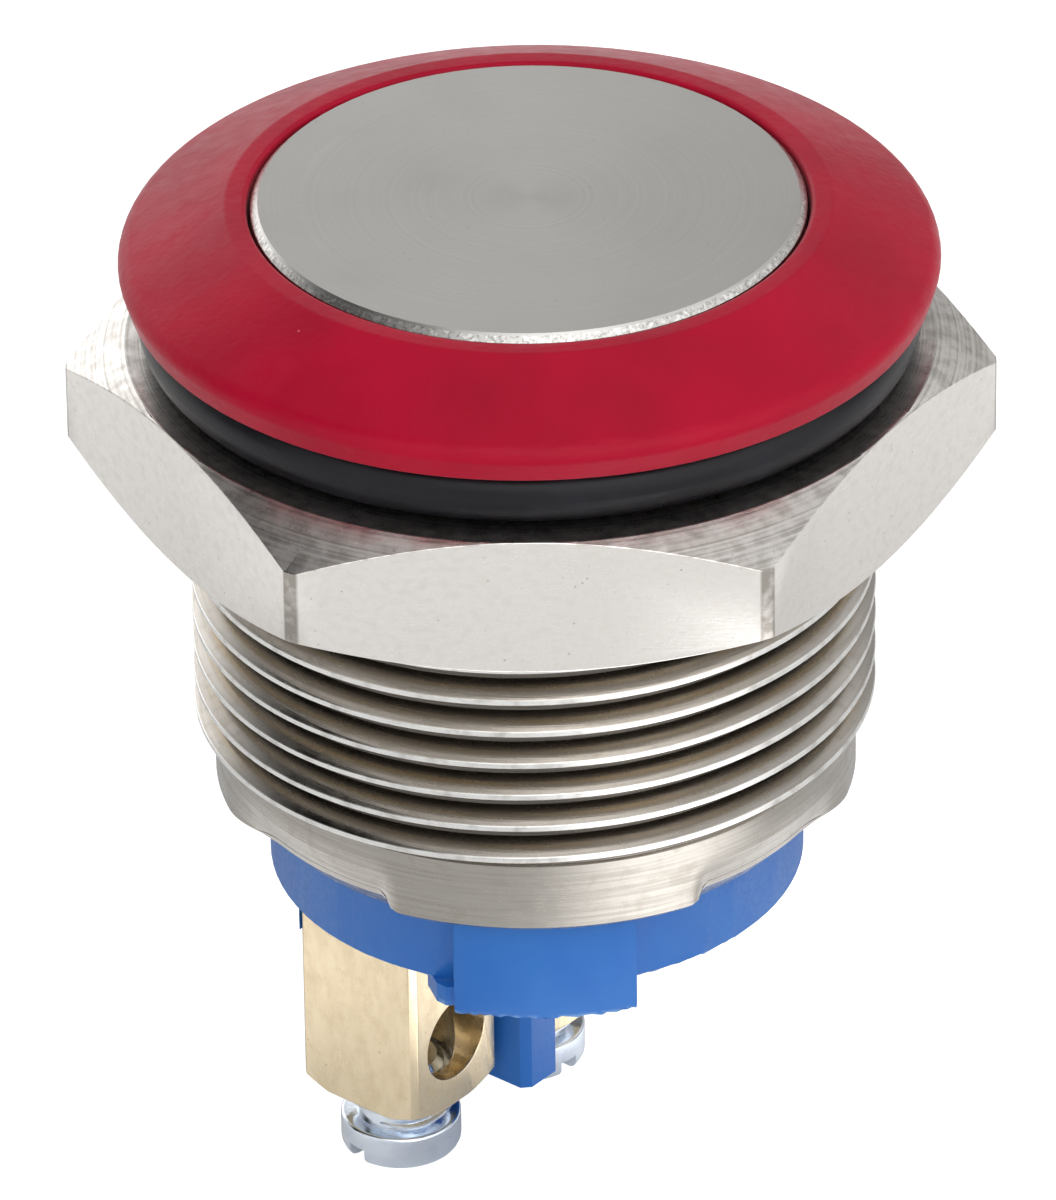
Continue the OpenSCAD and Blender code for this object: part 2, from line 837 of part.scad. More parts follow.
// The walls that keep the terminals apart
module terminal_walls() {
    wall_front = terminal_back + bar_d / 2 + rivet_fit;
    rotate([0, 0, terminal_turn]) {
        translate([-barrier_t / 2, -barrier_front, base_end - barrier_drop])
            cube([barrier_t, barrier_front + wall_front + back_wall_t, barrier_drop + cut]);
        intersection() {
            translate([-base_r, wall_front, base_end - back_wall_drop])
                cube([2 * base_r, back_wall_t, back_wall_drop + cut]);
            translate([0, 0, base_end - back_wall_drop])
                cylinder(r = base_r - back_wall_inset, h = back_wall_drop + cut);
        }
    }
}

// The moulded base that carries the terminals
module base() {
    color([0.1, 0.36, 0.72])
        difference() {
            union() {
                rotate_extrude()
                    base_profile();
                marking_tab();
                terminal_walls();
            }
            translate([0, 0, pocket_end])
                cylinder(r = pocket_r, h = floor_top - pocket_end + cut);
            for (side = [-1, 1])
                at_terminal(side) {
                    translate([0, 0, base_end - cut])
                        cylinder(r = rivet_r + rivet_fit, h = floor_top - base_end + 2 * cut);
                    translate([0, 0, base_end + (bar_sink - cut) / 2])
                        cube(
                            [bar_w + 2 * rivet_fit, bar_d + 2 * rivet_fit, bar_sink + cut],
                            center = true
                        );
                }
        }
}

// One terminal bar with its wire hole, its screw hole and its riveted shank
module terminal_bar(side) {
    bar_h = bar_top - bar_end;
    corner_r = norm([bar_w, bar_d]) / 2;
    end_slope_h = (corner_r - bar_end_r) * tan(bar_end_slope);
    color([0.85, 0.79, 0.64])
        at_terminal(side)
            difference() {
                union() {
                    intersection() {
                        translate([0, 0, bar_end])
                            linear_extrude(height = bar_h)
                                bar_section();
                        translate([0, 0, bar_end])
                            rotate_extrude()
                                polygon([
                                    [0, 0],
                                    [bar_end_r, 0],
                                    [corner_r, end_slope_h],
                                    [corner_r, bar_h],
                                    [0, bar_h]
                                ]);
                    }
                    translate([0, 0, bar_top - cut])
                        cylinder(r = rivet_r, h = strip_top - bar_top + cut);
                    translate([0, 0, strip_top])
                        cylinder(r = rivet_head_r, h = rivet_head_h);
                }
                translate([0, bar_d / 2 + cut, bar_end + wire_hole_h])
                    rotate([90, 0, 0])
                        cylinder(r = wire_hole_r, h = bar_d + 2 * cut);
                translate([0, 0, bar_end - cut])
                    cylinder(r = screw_r + screw_fit, h = wire_hole_h + cut);
            }
}

// Section of a terminal bar, with its long corners taken off
module bar_section() {
    half = [bar_w / 2, bar_d / 2];
    polygon([
        [half.x, half.y - bar_corner],
        [half.x - bar_corner, half.y],
        [-half.x + bar_corner, half.y],
        [-half.x, half.y - bar_corner],
        [-half.x, -half.y + bar_corner],
        [-half.x + bar_corner, -half.y],
        [half.x - bar_corner, -half.y],
        [half.x, -half.y + bar_corner]
    ]);
}

module terminal_bar_a() {
    terminal_bar(-1);
}

module terminal_bar_b() {
    terminal_bar(1);
}

// One clamping screw, backed out of its bar
module terminal_screw(side, slot_turn) {
    head_low = screw_head_top - screw_head_h;
    color([0.8, 0.82, 0.85])
        at_terminal(side)
            difference() {
                rotate_extrude()
                    polygon([
                        [0, head_low],
                        [screw_head_r - screw_head_chamfer, head_low],
                        [screw_head_r, head_low + screw_head_chamfer],
                        [screw_head_r, screw_head_top],
                        [screw_r, screw_head_top],
                        [screw_r, screw_head_top + screw_h - screw_tip_chamfer],
                        [screw_r - screw_tip_chamfer, screw_head_top + screw_h],
                        [0, screw_head_top + screw_h]
                    ]);
                rotate([0, 0, slot_turn])
                    translate([-screw_head_r - cut, -slot_w / 2, head_low - cut])
                        cube([2 * (screw_head_r + cut), slot_w, slot_d + cut]);
            }
}

module terminal_screw_a() {
    terminal_screw(-1, slot_turn_a);
}

module terminal_screw_b() {
    terminal_screw(1, slot_turn_b);
}

bezel();
button();
button_seal();
retaining_clip();
bushing();
panel_seal();
panel_nut();
cover_gasket();
contact_cover();
contact_carrier();
contact_spring();
contact_bridge();
bridge_tips();
bridge_washer();
return_spring();
fixed_contact_a();
fixed_contact_b();
fixed_tips();
base();
terminal_bar_a();
terminal_bar_b();
terminal_screw_a();
terminal_screw_b();
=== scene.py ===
"""Looks of a vandal-resistant push button with a threaded bushing, a nut and two screw terminals.

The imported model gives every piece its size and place. This file dresses those pieces, models the
ones that need more than the solids hold, and sets up the studio that they are seen in.
Sizes are in millimetres unless a name says otherwise.
"""

import json
import logging
import math
from dataclasses import dataclass, field
from enum import Enum
from typing import Callable, Sequence

import bmesh
import bpy
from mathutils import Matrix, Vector


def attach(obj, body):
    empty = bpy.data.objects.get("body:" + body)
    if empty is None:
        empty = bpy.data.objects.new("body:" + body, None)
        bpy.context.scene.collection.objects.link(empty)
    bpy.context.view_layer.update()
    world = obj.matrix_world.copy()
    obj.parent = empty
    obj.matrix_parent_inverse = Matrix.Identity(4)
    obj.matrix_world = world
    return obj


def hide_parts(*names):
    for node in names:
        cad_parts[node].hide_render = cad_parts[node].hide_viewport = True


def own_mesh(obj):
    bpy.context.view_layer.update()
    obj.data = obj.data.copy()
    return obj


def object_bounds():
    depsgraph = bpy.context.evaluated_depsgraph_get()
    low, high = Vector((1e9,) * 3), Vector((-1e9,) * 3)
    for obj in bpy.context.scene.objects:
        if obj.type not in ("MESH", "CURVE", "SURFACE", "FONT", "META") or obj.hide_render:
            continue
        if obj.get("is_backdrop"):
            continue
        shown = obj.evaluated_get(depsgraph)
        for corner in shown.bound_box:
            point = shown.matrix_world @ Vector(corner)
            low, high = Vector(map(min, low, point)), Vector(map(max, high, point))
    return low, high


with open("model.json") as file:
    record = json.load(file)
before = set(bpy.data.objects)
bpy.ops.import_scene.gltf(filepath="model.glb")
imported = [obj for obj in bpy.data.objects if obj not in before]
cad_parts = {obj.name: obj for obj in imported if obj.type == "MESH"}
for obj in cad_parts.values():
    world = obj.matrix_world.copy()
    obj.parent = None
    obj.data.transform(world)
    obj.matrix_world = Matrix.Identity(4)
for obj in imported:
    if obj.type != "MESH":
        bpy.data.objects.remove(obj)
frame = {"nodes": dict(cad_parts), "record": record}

LOG = logging.getLogger("push_button")
MM = 0.001

Colour = tuple[float, float, float]
Point = tuple[float, float, float]


class Body(Enum):
    """The moving bodies of the button."""

    HOUSING = "housing"
    PLUNGER = "plunger"
    BRIDGE = "bridge"
    NUT = "nut"
    SCREW_A = "screw_a"
    SCREW_B = "screw_b"


class Slot(Enum):
    """The material slots of the record."""

    RED_PAINT = "red_paint"
    STAINLESS = "stainless"
    NICKEL = "nickel"
    NICKEL_NUT = "nickel_nut"
    RUBBER = "rubber"
    BLUE_PLASTIC = "blue_plastic"
    BLACK_PLASTIC = "black_plastic"
    WHITE_PLASTIC = "white_plastic"
    BRASS = "brass"
    PALE_BRASS = "pale_brass"
    SILVER = "silver"
    ZINC = "zinc"
    SPRING_STEEL = "spring_steel"


def shade(red: float, green: float, blue: float) -> Colour:
    """Turn a screen colour, 0 to 255, into the light that a shader works with.

    Args:
        red: Red as a screen shows it.
        green: Green as a screen shows it.
        blue: Blue as a screen shows it.

    Returns:
        The same colour as linear light.
    """

    def linear(value: float) -> float:
        """Linear light of one screen value."""
        share = value / 255
        return share / 12.92 if share <= 0.04045 else ((share + 0.055) / 1.055) ** 2.4

    return linear(red), linear(green), linear(blue)


def smooth_step(value: float, low: float, high: float) -> float:
    """Ease from 0 at one value to 1 at another.

    Args:
        value: Where to read the ease.
        low: Value at which it leaves 0.
        high: Value at which it reaches 1.

    Returns:
        A share from 0 to 1.
    """
    share = min(1.0, max(0.0, (value - low) / (high - low)))
    return share * share * (3 - 2 * share)


class Graph:
    """One material's nodes, built round a principled shader on Object coordinates in millimetres."""

    def __init__(self, name: str) -> None:
        """Start an empty material with its shader and output."""
        self.material = bpy.data.materials.new(name)
        self.material.use_nodes = True
        self.tree = self.material.node_tree
        self.tree.nodes.clear()
        self.shader = self.node("ShaderNodeBsdfPrincipled")
        output = self.node("ShaderNodeOutputMaterial")
        self.join(self.shader.outputs["BSDF"], output.inputs["Surface"])
        self.place = self.node("ShaderNodeTexCoord").outputs["Object"]

    def node(self, kind: str, **settings: object) -> bpy.types.Node:
        """Add a node and set its properties.

        Args:
            kind: Blender's name of the node's type.
            **settings: Properties of the node and their values.

        Returns:
            The new node.
        """
        made = self.tree.nodes.new(kind)
        for key, value in settings.items():
            setattr(made, key, value)
        return made

    def join(self, source: bpy.types.NodeSocket, target: bpy.types.NodeSocket) -> None:
        """Link an output to an input."""
        self.tree.links.new(source, target)

    def feed(self, target: bpy.types.NodeSocket, value: object) -> None:
        """Give an input a link, a number or a colour.

        Args:
            target: The input.
            value: An output to link, a number, or three numbers of a colour or vector.
        """
        if isinstance(value, bpy.types.NodeSocket):
            self.join(value, target)
        elif isinstance(value, tuple) and target.type == "RGBA":
            target.default_value = (*value, 1.0)
        else:
            target.default_value = value

    def stretched(self, scale: Point, turn: Point = (0, 0, 0), shift: Point = (0, 0, 0)) -> bpy.types.NodeSocket:
        """Object coordinates in millimetres, scaled along each axis.

        Args:
            scale: How many times finer the pattern gets along X, Y and Z.
            turn: Turn of the pattern in degrees.
            shift: Shift of the pattern in millimetres.

        Returns:
            The coordinates' output.
        """
        mapping = self.node("ShaderNodeMapping")
        mapping.inputs["Scale"].default_value = tuple(s / MM for s in scale)
        mapping.inputs["Rotation"].default_value = tuple(math.radians(t) for t in turn)
        mapping.inputs["Location"].default_value = shift
        self.join(self.place, mapping.inputs["Vector"])
        return mapping.outputs["Vector"]

    def noise(
        self, grain: float, detail: float = 3, stretch: Point = (1, 1, 1), turn: Point = (0, 0, 0), seed: float = 0
    ) -> bpy.types.NodeSocket:
        """Cloudy noise of a given grain size.

        Args:
            grain: Size of one blot in millimetres.
            detail: Number of finer layers.
            stretch: How many times finer it gets along each axis.
            turn: Turn of the pattern in degrees.
            seed: Shift that makes this noise differ from the others.

        Returns:
            The noise's output, from 0 to 1.
        """
        made = self.node("ShaderNodeTexNoise")
        made.inputs["Scale"].default_value = 1 / grain
        made.inputs["Detail"].default_value = detail
        self.join(self.stretched(stretch, turn, (seed, seed * 1.7, seed * 0.6)), made.inputs["Vector"])
        return made.outputs["Fac"]

    def cells(self, size: float, seed: float = 0, stretch: Point = (1, 1, 1)) -> bpy.types.NodeSocket:
        """Distance to the nearest of many scattered points.

        Args:
            size: Mean distance between the points in millimetres.
            seed: Shift of the pattern.
            stretch: How many times finer it gets along each axis.

        Returns:
            The distance's output, from 0 at a point.
        """
        made = self.node("ShaderNodeTexVoronoi")
        made.inputs["Scale"].default_value = 1 / size
        self.join(self.stretched(stretch, shift=(seed, seed, seed)), made.inputs["Vector"])
        return made.outputs["Distance"]

    def spread(self, source: bpy.types.NodeSocket, low: float, high: float, first: float = 0, last: float = 1) -> bpy.types.NodeSocket:
        """Stretch a range of a value over another range, held at both ends.

        Args:
            source: The value.
            low: Value that becomes the first one.
            high: Value that becomes the last one.
            first: Result at the low value.
            last: Result at the high value.

        Returns:
            The stretched value's output.
        """
        made = self.node("ShaderNodeMapRange")
        self.join(source, made.inputs["Value"])
        for key, value in (("From Min", low), ("From Max", high), ("To Min", first), ("To Max", last)):
            made.inputs[key].default_value = value
        return made.outputs["Result"]

    def sum(self, first: object, second: object, operation: str = "ADD") -> bpy.types.NodeSocket:
        """Join two values with one operation.

        Args:
            first: The first value, an output or a number.
            second: The second value.
            operation: ADD, SUBTRACT, MULTIPLY, MAXIMUM or MINIMUM.

        Returns:
            The result's output.
        """
        made = self.node("ShaderNodeMath", operation=operation)
        self.feed(made.inputs[0], first)
        self.feed(made.inputs[1], second)
        return made.outputs[0]

    def blend(self, share: object, first: object, second: object) -> bpy.types.NodeSocket:
        """Mix two colours.

        Args:
            share: Share of the second colour, an output or a number.
            first: The first colour.
            second: The second colour.

        Returns:
            The mixed colour's output.
        """
        made = self.node("ShaderNodeMix", data_type="RGBA")
        self.feed(made.inputs[0], share)
        self.feed(made.inputs[6], first)
        self.feed(made.inputs[7], second)
        return made.outputs[2]

    def emboss(self, height: bpy.types.NodeSocket, depth: float, under: bpy.types.NodeSocket | None = None) -> bpy.types.NodeSocket:
        """Turn a height from 0 to 1 into relief.

        Args:
            height: The height.
            depth: Depth of the relief in millimetres.
            under: Relief that this one lies on.

        Returns:
            The surface normal's output.
        """
        made = self.node("ShaderNodeBump")
        made.inputs["Distance"].default_value = depth * MM
        self.join(height, made.inputs["Height"])
        if under is not None:
            self.join(under, made.inputs["Normal"])
        return made.outputs["Normal"]

    def facing(self) -> tuple[bpy.types.NodeSocket, bpy.types.NodeSocket, bpy.types.NodeSocket]:
        """Read the surface's own normal.

        Returns:
            Its X, Y and Z outputs.
        """
        source = self.node("ShaderNodeNewGeometry").outputs["Normal"]
        made = self.node("ShaderNodeSeparateXYZ")
        self.join(source, made.inputs[0])
        return made.outputs[0], made.outputs[1], made.outputs[2]

    def axis_distance(self) -> bpy.types.NodeSocket:
        """Measure the distance from the button's axis.

        Returns:
            The distance's output in millimetres.
        """
        flat = self.node("ShaderNodeVectorMath", operation="LENGTH")
        self.join(self.stretched((1, 1, 0)), flat.inputs[0])
        return flat.outputs["Value"]

    def rings(self, distance: bpy.types.NodeSocket, fineness: float, detail: float = 4) -> bpy.types.NodeSocket:
        """Uneven rings round the axis, as a cutting tool leaves them.

        Args:
            distance: Output of the distance from the axis.
            fineness: How many rings there are to a millimetre.
            detail: Number of finer layers.

        Returns:
            The rings' output, from 0 to 1.
        """
        made = self.node("ShaderNodeTexNoise", noise_dimensions="1D")
        made.inputs["Scale"].default_value = fineness
        made.inputs["Detail"].default_value = detail
        self.join(distance, made.inputs["W"])
        return made.outputs["Fac"]

    def height(self) -> bpy.types.NodeSocket:
        """Measure the height above the panel seat.

        Returns:
            The height's output in millimetres.
        """
        made = self.node("ShaderNodeSeparateXYZ")
        self.join(self.stretched((1, 1, 1)), made.inputs[0])
        return made.outputs[2]

    def finish(self, **inputs: object) -> bpy.types.Material:
        """Set the shader's inputs, named with underscores for spaces.

        Args:
            **inputs: Outputs, numbers or colours for the shader's inputs.

        Returns:
            The material.
        """
        for key, value in inputs.items():
            self.feed(self.shader.inputs[key.replace("_", " ")], value)
        return self.material


@dataclass(frozen=True)
class PowderCoat:
    """Red satin powder coat with a fine orange peel and a few specks."""

    colour: Colour = shade(184, 2, 46)
    deep: Colour = shade(168, 2, 40)
    roughness: float = 0.4

    def material(self) -> bpy.types.Material:
        """Build the coat."""
        g = Graph("red_powder_coat")
        cloud = g.noise(3.5, 2, seed=3)
        peel = g.noise(0.22, 4)
        specks = g.spread(g.cells(2.6, 5), 0.014, 0.02, 1, 0)
        colour = g.blend(g.spread(cloud, 0.35, 0.7), self.colour, self.deep)
        colour = g.blend(g.sum(specks, 0.6, "MULTIPLY"), colour, shade(225, 120, 130))
        relief = g.emboss(peel, 0.012)
        return g.finish(
            Base_Color=colour,
            Roughness=g.spread(g.noise(0.5, 3, seed=8), 0.3, 0.7, self.roughness - 0.05, self.roughness + 0.06),
            Normal=relief,
            Specular_IOR_Level=0.16,
            Sheen_Weight=0.08,
            Sheen_Roughness=0.45,
        )


@dataclass(frozen=True)
class TurnedSteel:
    """Satin stainless steel, turned and then lapped, so that its rings hardly show, with dark patches and a painted
    highlight on its edge chamfer.
    """

    colour: Colour = shade(208, 206, 202)
    dark: Colour = shade(197, 194, 189)
    roughness: float = 0.31
    rim_r: float = 7.37

    def material(self) -> bpy.types.Material:
        """Build the turned face."""
        g = Graph("turned_stainless")
        distance = g.axis_distance()
        ring = g.rings(distance, 9)
        cloud = g.noise(2.8, 3, seed=2)
        fleck = g.spread(g.noise(0.16, 2, seed=4), 0.68, 0.8)
        colour = g.blend(g.sum(g.spread(ring, 0.3, 0.7), 0.25, "MULTIPLY"), self.colour, self.dark)
        colour = g.blend(g.sum(g.spread(cloud, 0.5, 0.8), 0.3, "MULTIPLY"), colour, self.dark)
        colour = g.blend(g.sum(fleck, 0.25, "MULTIPLY"), colour, shade(120, 118, 112))
        # The edge chamfer gets dark patches and then a near-white painted highlight over most of its band.
        rim = g.spread(distance, self.rim_r, self.rim_r + 0.02)
        rim_dark_patches = g.spread(g.noise(0.1, 3, seed=21), 0.5, 0.62, 0, 0.7)
        colour = g.blend(g.sum(rim, rim_dark_patches, "MULTIPLY"), colour, shade(118, 115, 110))
        rim_painted_highlight = g.spread(g.noise(0.14, 3, seed=23), 0.5, 0.62, 0.2, 1)
        colour = g.blend(g.sum(rim, rim_painted_highlight, "MULTIPLY"), colour, shade(245, 244, 240))
        tangent = g.node("ShaderNodeTangent", direction_type="RADIAL", axis="Z")
        return g.finish(
            Base_Color=colour,
            Metallic=1.0,
            Roughness=g.spread(g.sum(ring, cloud, "MULTIPLY"), 0.1, 0.5, self.roughness - 0.04, self.roughness + 0.05),
            Anisotropic=0.3,
            Tangent=tangent.outputs["Tangent"],
            Normal=g.emboss(ring, 0.0002),
        )


@dataclass(frozen=True)
class NickelTurned:
    """Nickel plate over turned brass, with cutting marks round the axis, painted shade in the thread's grooves and
    painted highlights on its flanks and crests.
    """

    colour: Colour = shade(184, 179, 172)
    dark: Colour = shade(150, 143, 133)
    # Colour of the painted shade in the thread's grooves, and of the nut's cut marks and painted corner shade.
    groove_and_painted_shade: Colour = shade(96, 90, 84)
    # Colour of the painted highlight along the middle of the thread flanks.
    streak: Colour = shade(176, 160, 134)
    # Colour of the painted highlight on the thread's crests.
    painted_crest_highlight: Colour = shade(246, 245, 242)
    roughness: float = 0.22
    root_r: float = 8.82
    crest_r: float = 9.415
    thread_end: float = -13.34

    def material(self) -> bpy.types.Material:
        """Build the plated and turned surface."""
        g = Graph("nickel_turned")
        distance = g.axis_distance()
        threaded = g.spread(g.height(), self.thread_end - 0.02, self.thread_end + 0.02)
        streak = g.noise(1.3, 5, (0.3, 0.3, 14), seed=1)
        fine = g.noise(0.8, 3, (0.4, 0.4, 30), seed=6)
        cloud = g.noise(0.5, 4, seed=9)
        colour = g.blend(g.sum(g.spread(streak, 0.45, 0.7), 0.5, "MULTIPLY"), self.colour, self.dark)
        colour = g.blend(g.sum(g.spread(cloud, 0.55, 0.75), 0.3, "MULTIPLY"), colour, shade(150, 140, 124))
        # Painted shade: the thread's grooves are darkened toward the root.
        depth = g.spread(distance, self.root_r, self.crest_r - 0.1, 0.85, 0)
        colour = g.blend(g.sum(depth, threaded, "MULTIPLY"), colour, self.groove_and_painted_shade)
        # Painted highlight: a warm band along the middle of each thread flank, broken up by the streak noise.
        middle = g.sum(g.spread(distance, 8.98, 9.1), g.spread(distance, 9.12, 9.26, 1, 0), "MULTIPLY")
        middle = g.sum(middle, g.spread(streak, 0.4, 0.6, 0.1, 0.75), "MULTIPLY")
        colour = g.blend(g.sum(middle, threaded, "MULTIPLY"), colour, self.streak)
        # Painted highlight: near-white lines along the thread's crests.
        crest_highlight_mask = g.sum(g.spread(distance, self.crest_r - 0.03, self.crest_r - 0.01), threaded, "MULTIPLY")
        colour = g.blend(g.sum(crest_highlight_mask, g.spread(cloud, 0.3, 0.5, 0.5, 1), "MULTIPLY"), colour, self.painted_crest_highlight)
        return g.finish(
            Base_Color=colour,
            Metallic=1.0,
            Roughness=g.spread(g.sum(streak, cloud), 0.7, 1.3, self.roughness - 0.05, self.roughness + 0.1),
            Normal=g.emboss(fine, 0.004),
        )


@dataclass(frozen=True)
class NickelMilled:
    """Nickel plate on the nut's bar stock, with faint rolling marks, dents and scratches, and painted shade on its
    turned corners.
    """

    colour: Colour = shade(237, 233, 228)
    dark: Colour = shade(214, 208, 200)
    groove_and_painted_shade: Colour = shade(128, 120, 110)
    roughness: float = 0.3
    corner_r: float = 12.62

    def material(self) -> bpy.types.Material:
        """Build the nut's plated surface."""
        g = Graph("nickel_milled")
        distance = g.axis_distance()
        chamfer = g.spread(g.facing()[2], 0.15, 0.3)
        cloud = g.noise(0.34, 4, (1, 1, 1.4), seed=4)
        grain = g.noise(0.1, 3, seed=5)
        marks = g.noise(0.5, 3, (1, 1, 14), seed=7)
        pits = g.spread(g.cells(0.8, 3), 0.03, 0.09, 1, 0)
        pick = g.spread(g.noise(1.3, 2, seed=12), 0.55, 0.65)
        pits = g.sum(pits, pick, "MULTIPLY")
        specks = g.spread(g.cells(0.33, 8), 0.06, 0.12, 1, 0)
        specks = g.sum(specks, g.spread(g.noise(0.9, 3, seed=16), 0.5, 0.6), "MULTIPLY")
        colour = g.blend(g.spread(cloud, 0.45, 0.75, 0, 0.4), self.colour, self.dark)
        colour = g.blend(g.sum(g.sum(pits, specks, "MAXIMUM"), 0.6, "MULTIPLY"), colour, shade(150, 142, 128))
        cut = g.spread(g.sum(g.rings(distance, 11), g.noise(0.5, 3, seed=19)), 0.85, 1.25, 0, 0.55)
        cut = g.sum(cut, chamfer, "MULTIPLY")
        colour = g.blend(cut, colour, self.groove_and_painted_shade)
        # Painted shade: the turned corners of the hex are darkened in patches.
        corner = g.spread(distance, self.corner_r, self.corner_r + 0.04, 0, 0.75)
        corner = g.sum(corner, g.spread(g.noise(0.4, 3, seed=18), 0.3, 0.5, 0.5, 1), "MULTIPLY")
        colour = g.blend(corner, colour, self.groove_and_painted_shade)
        relief = g.emboss(marks, 0.004)
        relief = g.emboss(grain, 0.003, relief)
        return g.finish(
            Base_Color=colour,
            Metallic=1.0,
            Roughness=g.spread(cloud, 0.35, 0.75, self.roughness - 0.03, self.roughness + 0.06),
            Normal=relief,
        )


@dataclass(frozen=True)
class Rubber:
    """Black moulded rubber with a soft sheen and a trace of dust."""

    colour: Colour = shade(13, 13, 20)
    dust: Colour = shade(46, 48, 58)
    roughness: float = 0.32

    def material(self) -> bpy.types.Material:
        """Build the rubber."""
        g = Graph("black_rubber")
        cloud = g.noise(1.4, 4, seed=2)
        specks = g.spread(g.cells(1.3, 9), 0.02, 0.035, 1, 0)
        colour = g.blend(g.sum(g.spread(cloud, 0.5, 0.8), 0.3, "MULTIPLY"), self.colour, self.dust)
        colour = g.blend(g.sum(specks, 0.7, "MULTIPLY"), colour, shade(120, 122, 128))
        return g.finish(
            Base_Color=colour,
            Roughness=g.spread(cloud, 0.3, 0.7, self.roughness - 0.06, self.roughness + 0.08),
            Normal=g.emboss(g.noise(0.12, 3, seed=5), 0.004),
            Specular_IOR_Level=0.3,
        )


@dataclass(frozen=True)
class MouldedPlastic:
    """Moulded plastic with a fine grain and slight flow marks."""

    name: str = "blue_moulded"
    colour: Colour = shade(32, 106, 190)
    pale: Colour = shade(60, 130, 206)
    roughness: float = 0.42
    grain: float = 0.006
    flash_edges: tuple[Point, ...] = ()
    flash: Colour = shade(112, 160, 212)

    def material(self) -> bpy.types.Material:
        """Build the plastic."""
        g = Graph(self.name)
        cloud = g.noise(1.8, 4, (1, 1, 0.6), seed=3)
        fine = g.noise(0.15, 3, seed=7)
        colour = g.blend(g.sum(g.spread(cloud, 0.45, 0.8), 0.35, "MULTIPLY"), self.colour, self.pale)
        for level, inner, outer in self.flash_edges:
            off = g.sum(g.sum(g.height(), level, "SUBTRACT"), 0, "ABSOLUTE")
            band = g.sum(g.spread(off, 0.03, 0.12, 0.8, 0), g.spread(g.noise(0.3, 4, seed=11), 0.42, 0.58), "MULTIPLY")
            band = g.sum(band, g.spread(g.axis_distance(), inner, inner + 0.03), "MULTIPLY")
            band = g.sum(band, g.spread(g.axis_distance(), outer, outer + 0.03, 1, 0), "MULTIPLY")
            colour = g.blend(band, colour, self.flash)
        return g.finish(
            Base_Color=colour,
            Roughness=g.spread(fine, 0.3, 0.7, self.roughness - 0.05, self.roughness + 0.08),
            Normal=g.emboss(g.sum(fine, cloud), self.grain),
        )


@dataclass(frozen=True)
class DrawnMetal:
    """Plated bar or strip with drawing marks along one direction."""

    name: str = "pale_brass"
    colour: Colour = shade(238, 220, 186)
    dark: Colour = shade(204, 182, 144)
    roughness: float = 0.24
    stretch: Point = (2, 2, 0.7)
    speck: Colour = shade(120, 92, 52)
    relief: float = 0.002

    def material(self) -> bpy.types.Material:
        """Build the drawn surface."""
        g = Graph(self.name)
        streak = g.noise(0.8, 4, self.stretch, seed=2)
        cloud = g.noise(0.45, 5, seed=6)
        spots = g.spread(g.cells(0.45, 4), 0.05, 0.13, 1, 0)
        spots = g.sum(spots, g.spread(g.noise(1.0, 2, seed=14), 0.5, 0.62), "MULTIPLY")
        colour = g.blend(g.sum(g.spread(streak, 0.4, 0.75), 0.35, "MULTIPLY"), self.colour, self.dark)
        colour = g.blend(g.sum(g.spread(cloud, 0.5, 0.8), 0.35, "MULTIPLY"), colour, self.dark)
        colour = g.blend(g.sum(spots, 0.6, "MULTIPLY"), colour, self.speck)
        return g.finish(
            Base_Color=colour,
            Metallic=1.0,
            Roughness=g.spread(g.sum(streak, cloud), 0.7, 1.3, self.roughness - 0.04, self.roughness + 0.08),
            Normal=g.emboss(g.sum(streak, cloud), self.relief),
        )


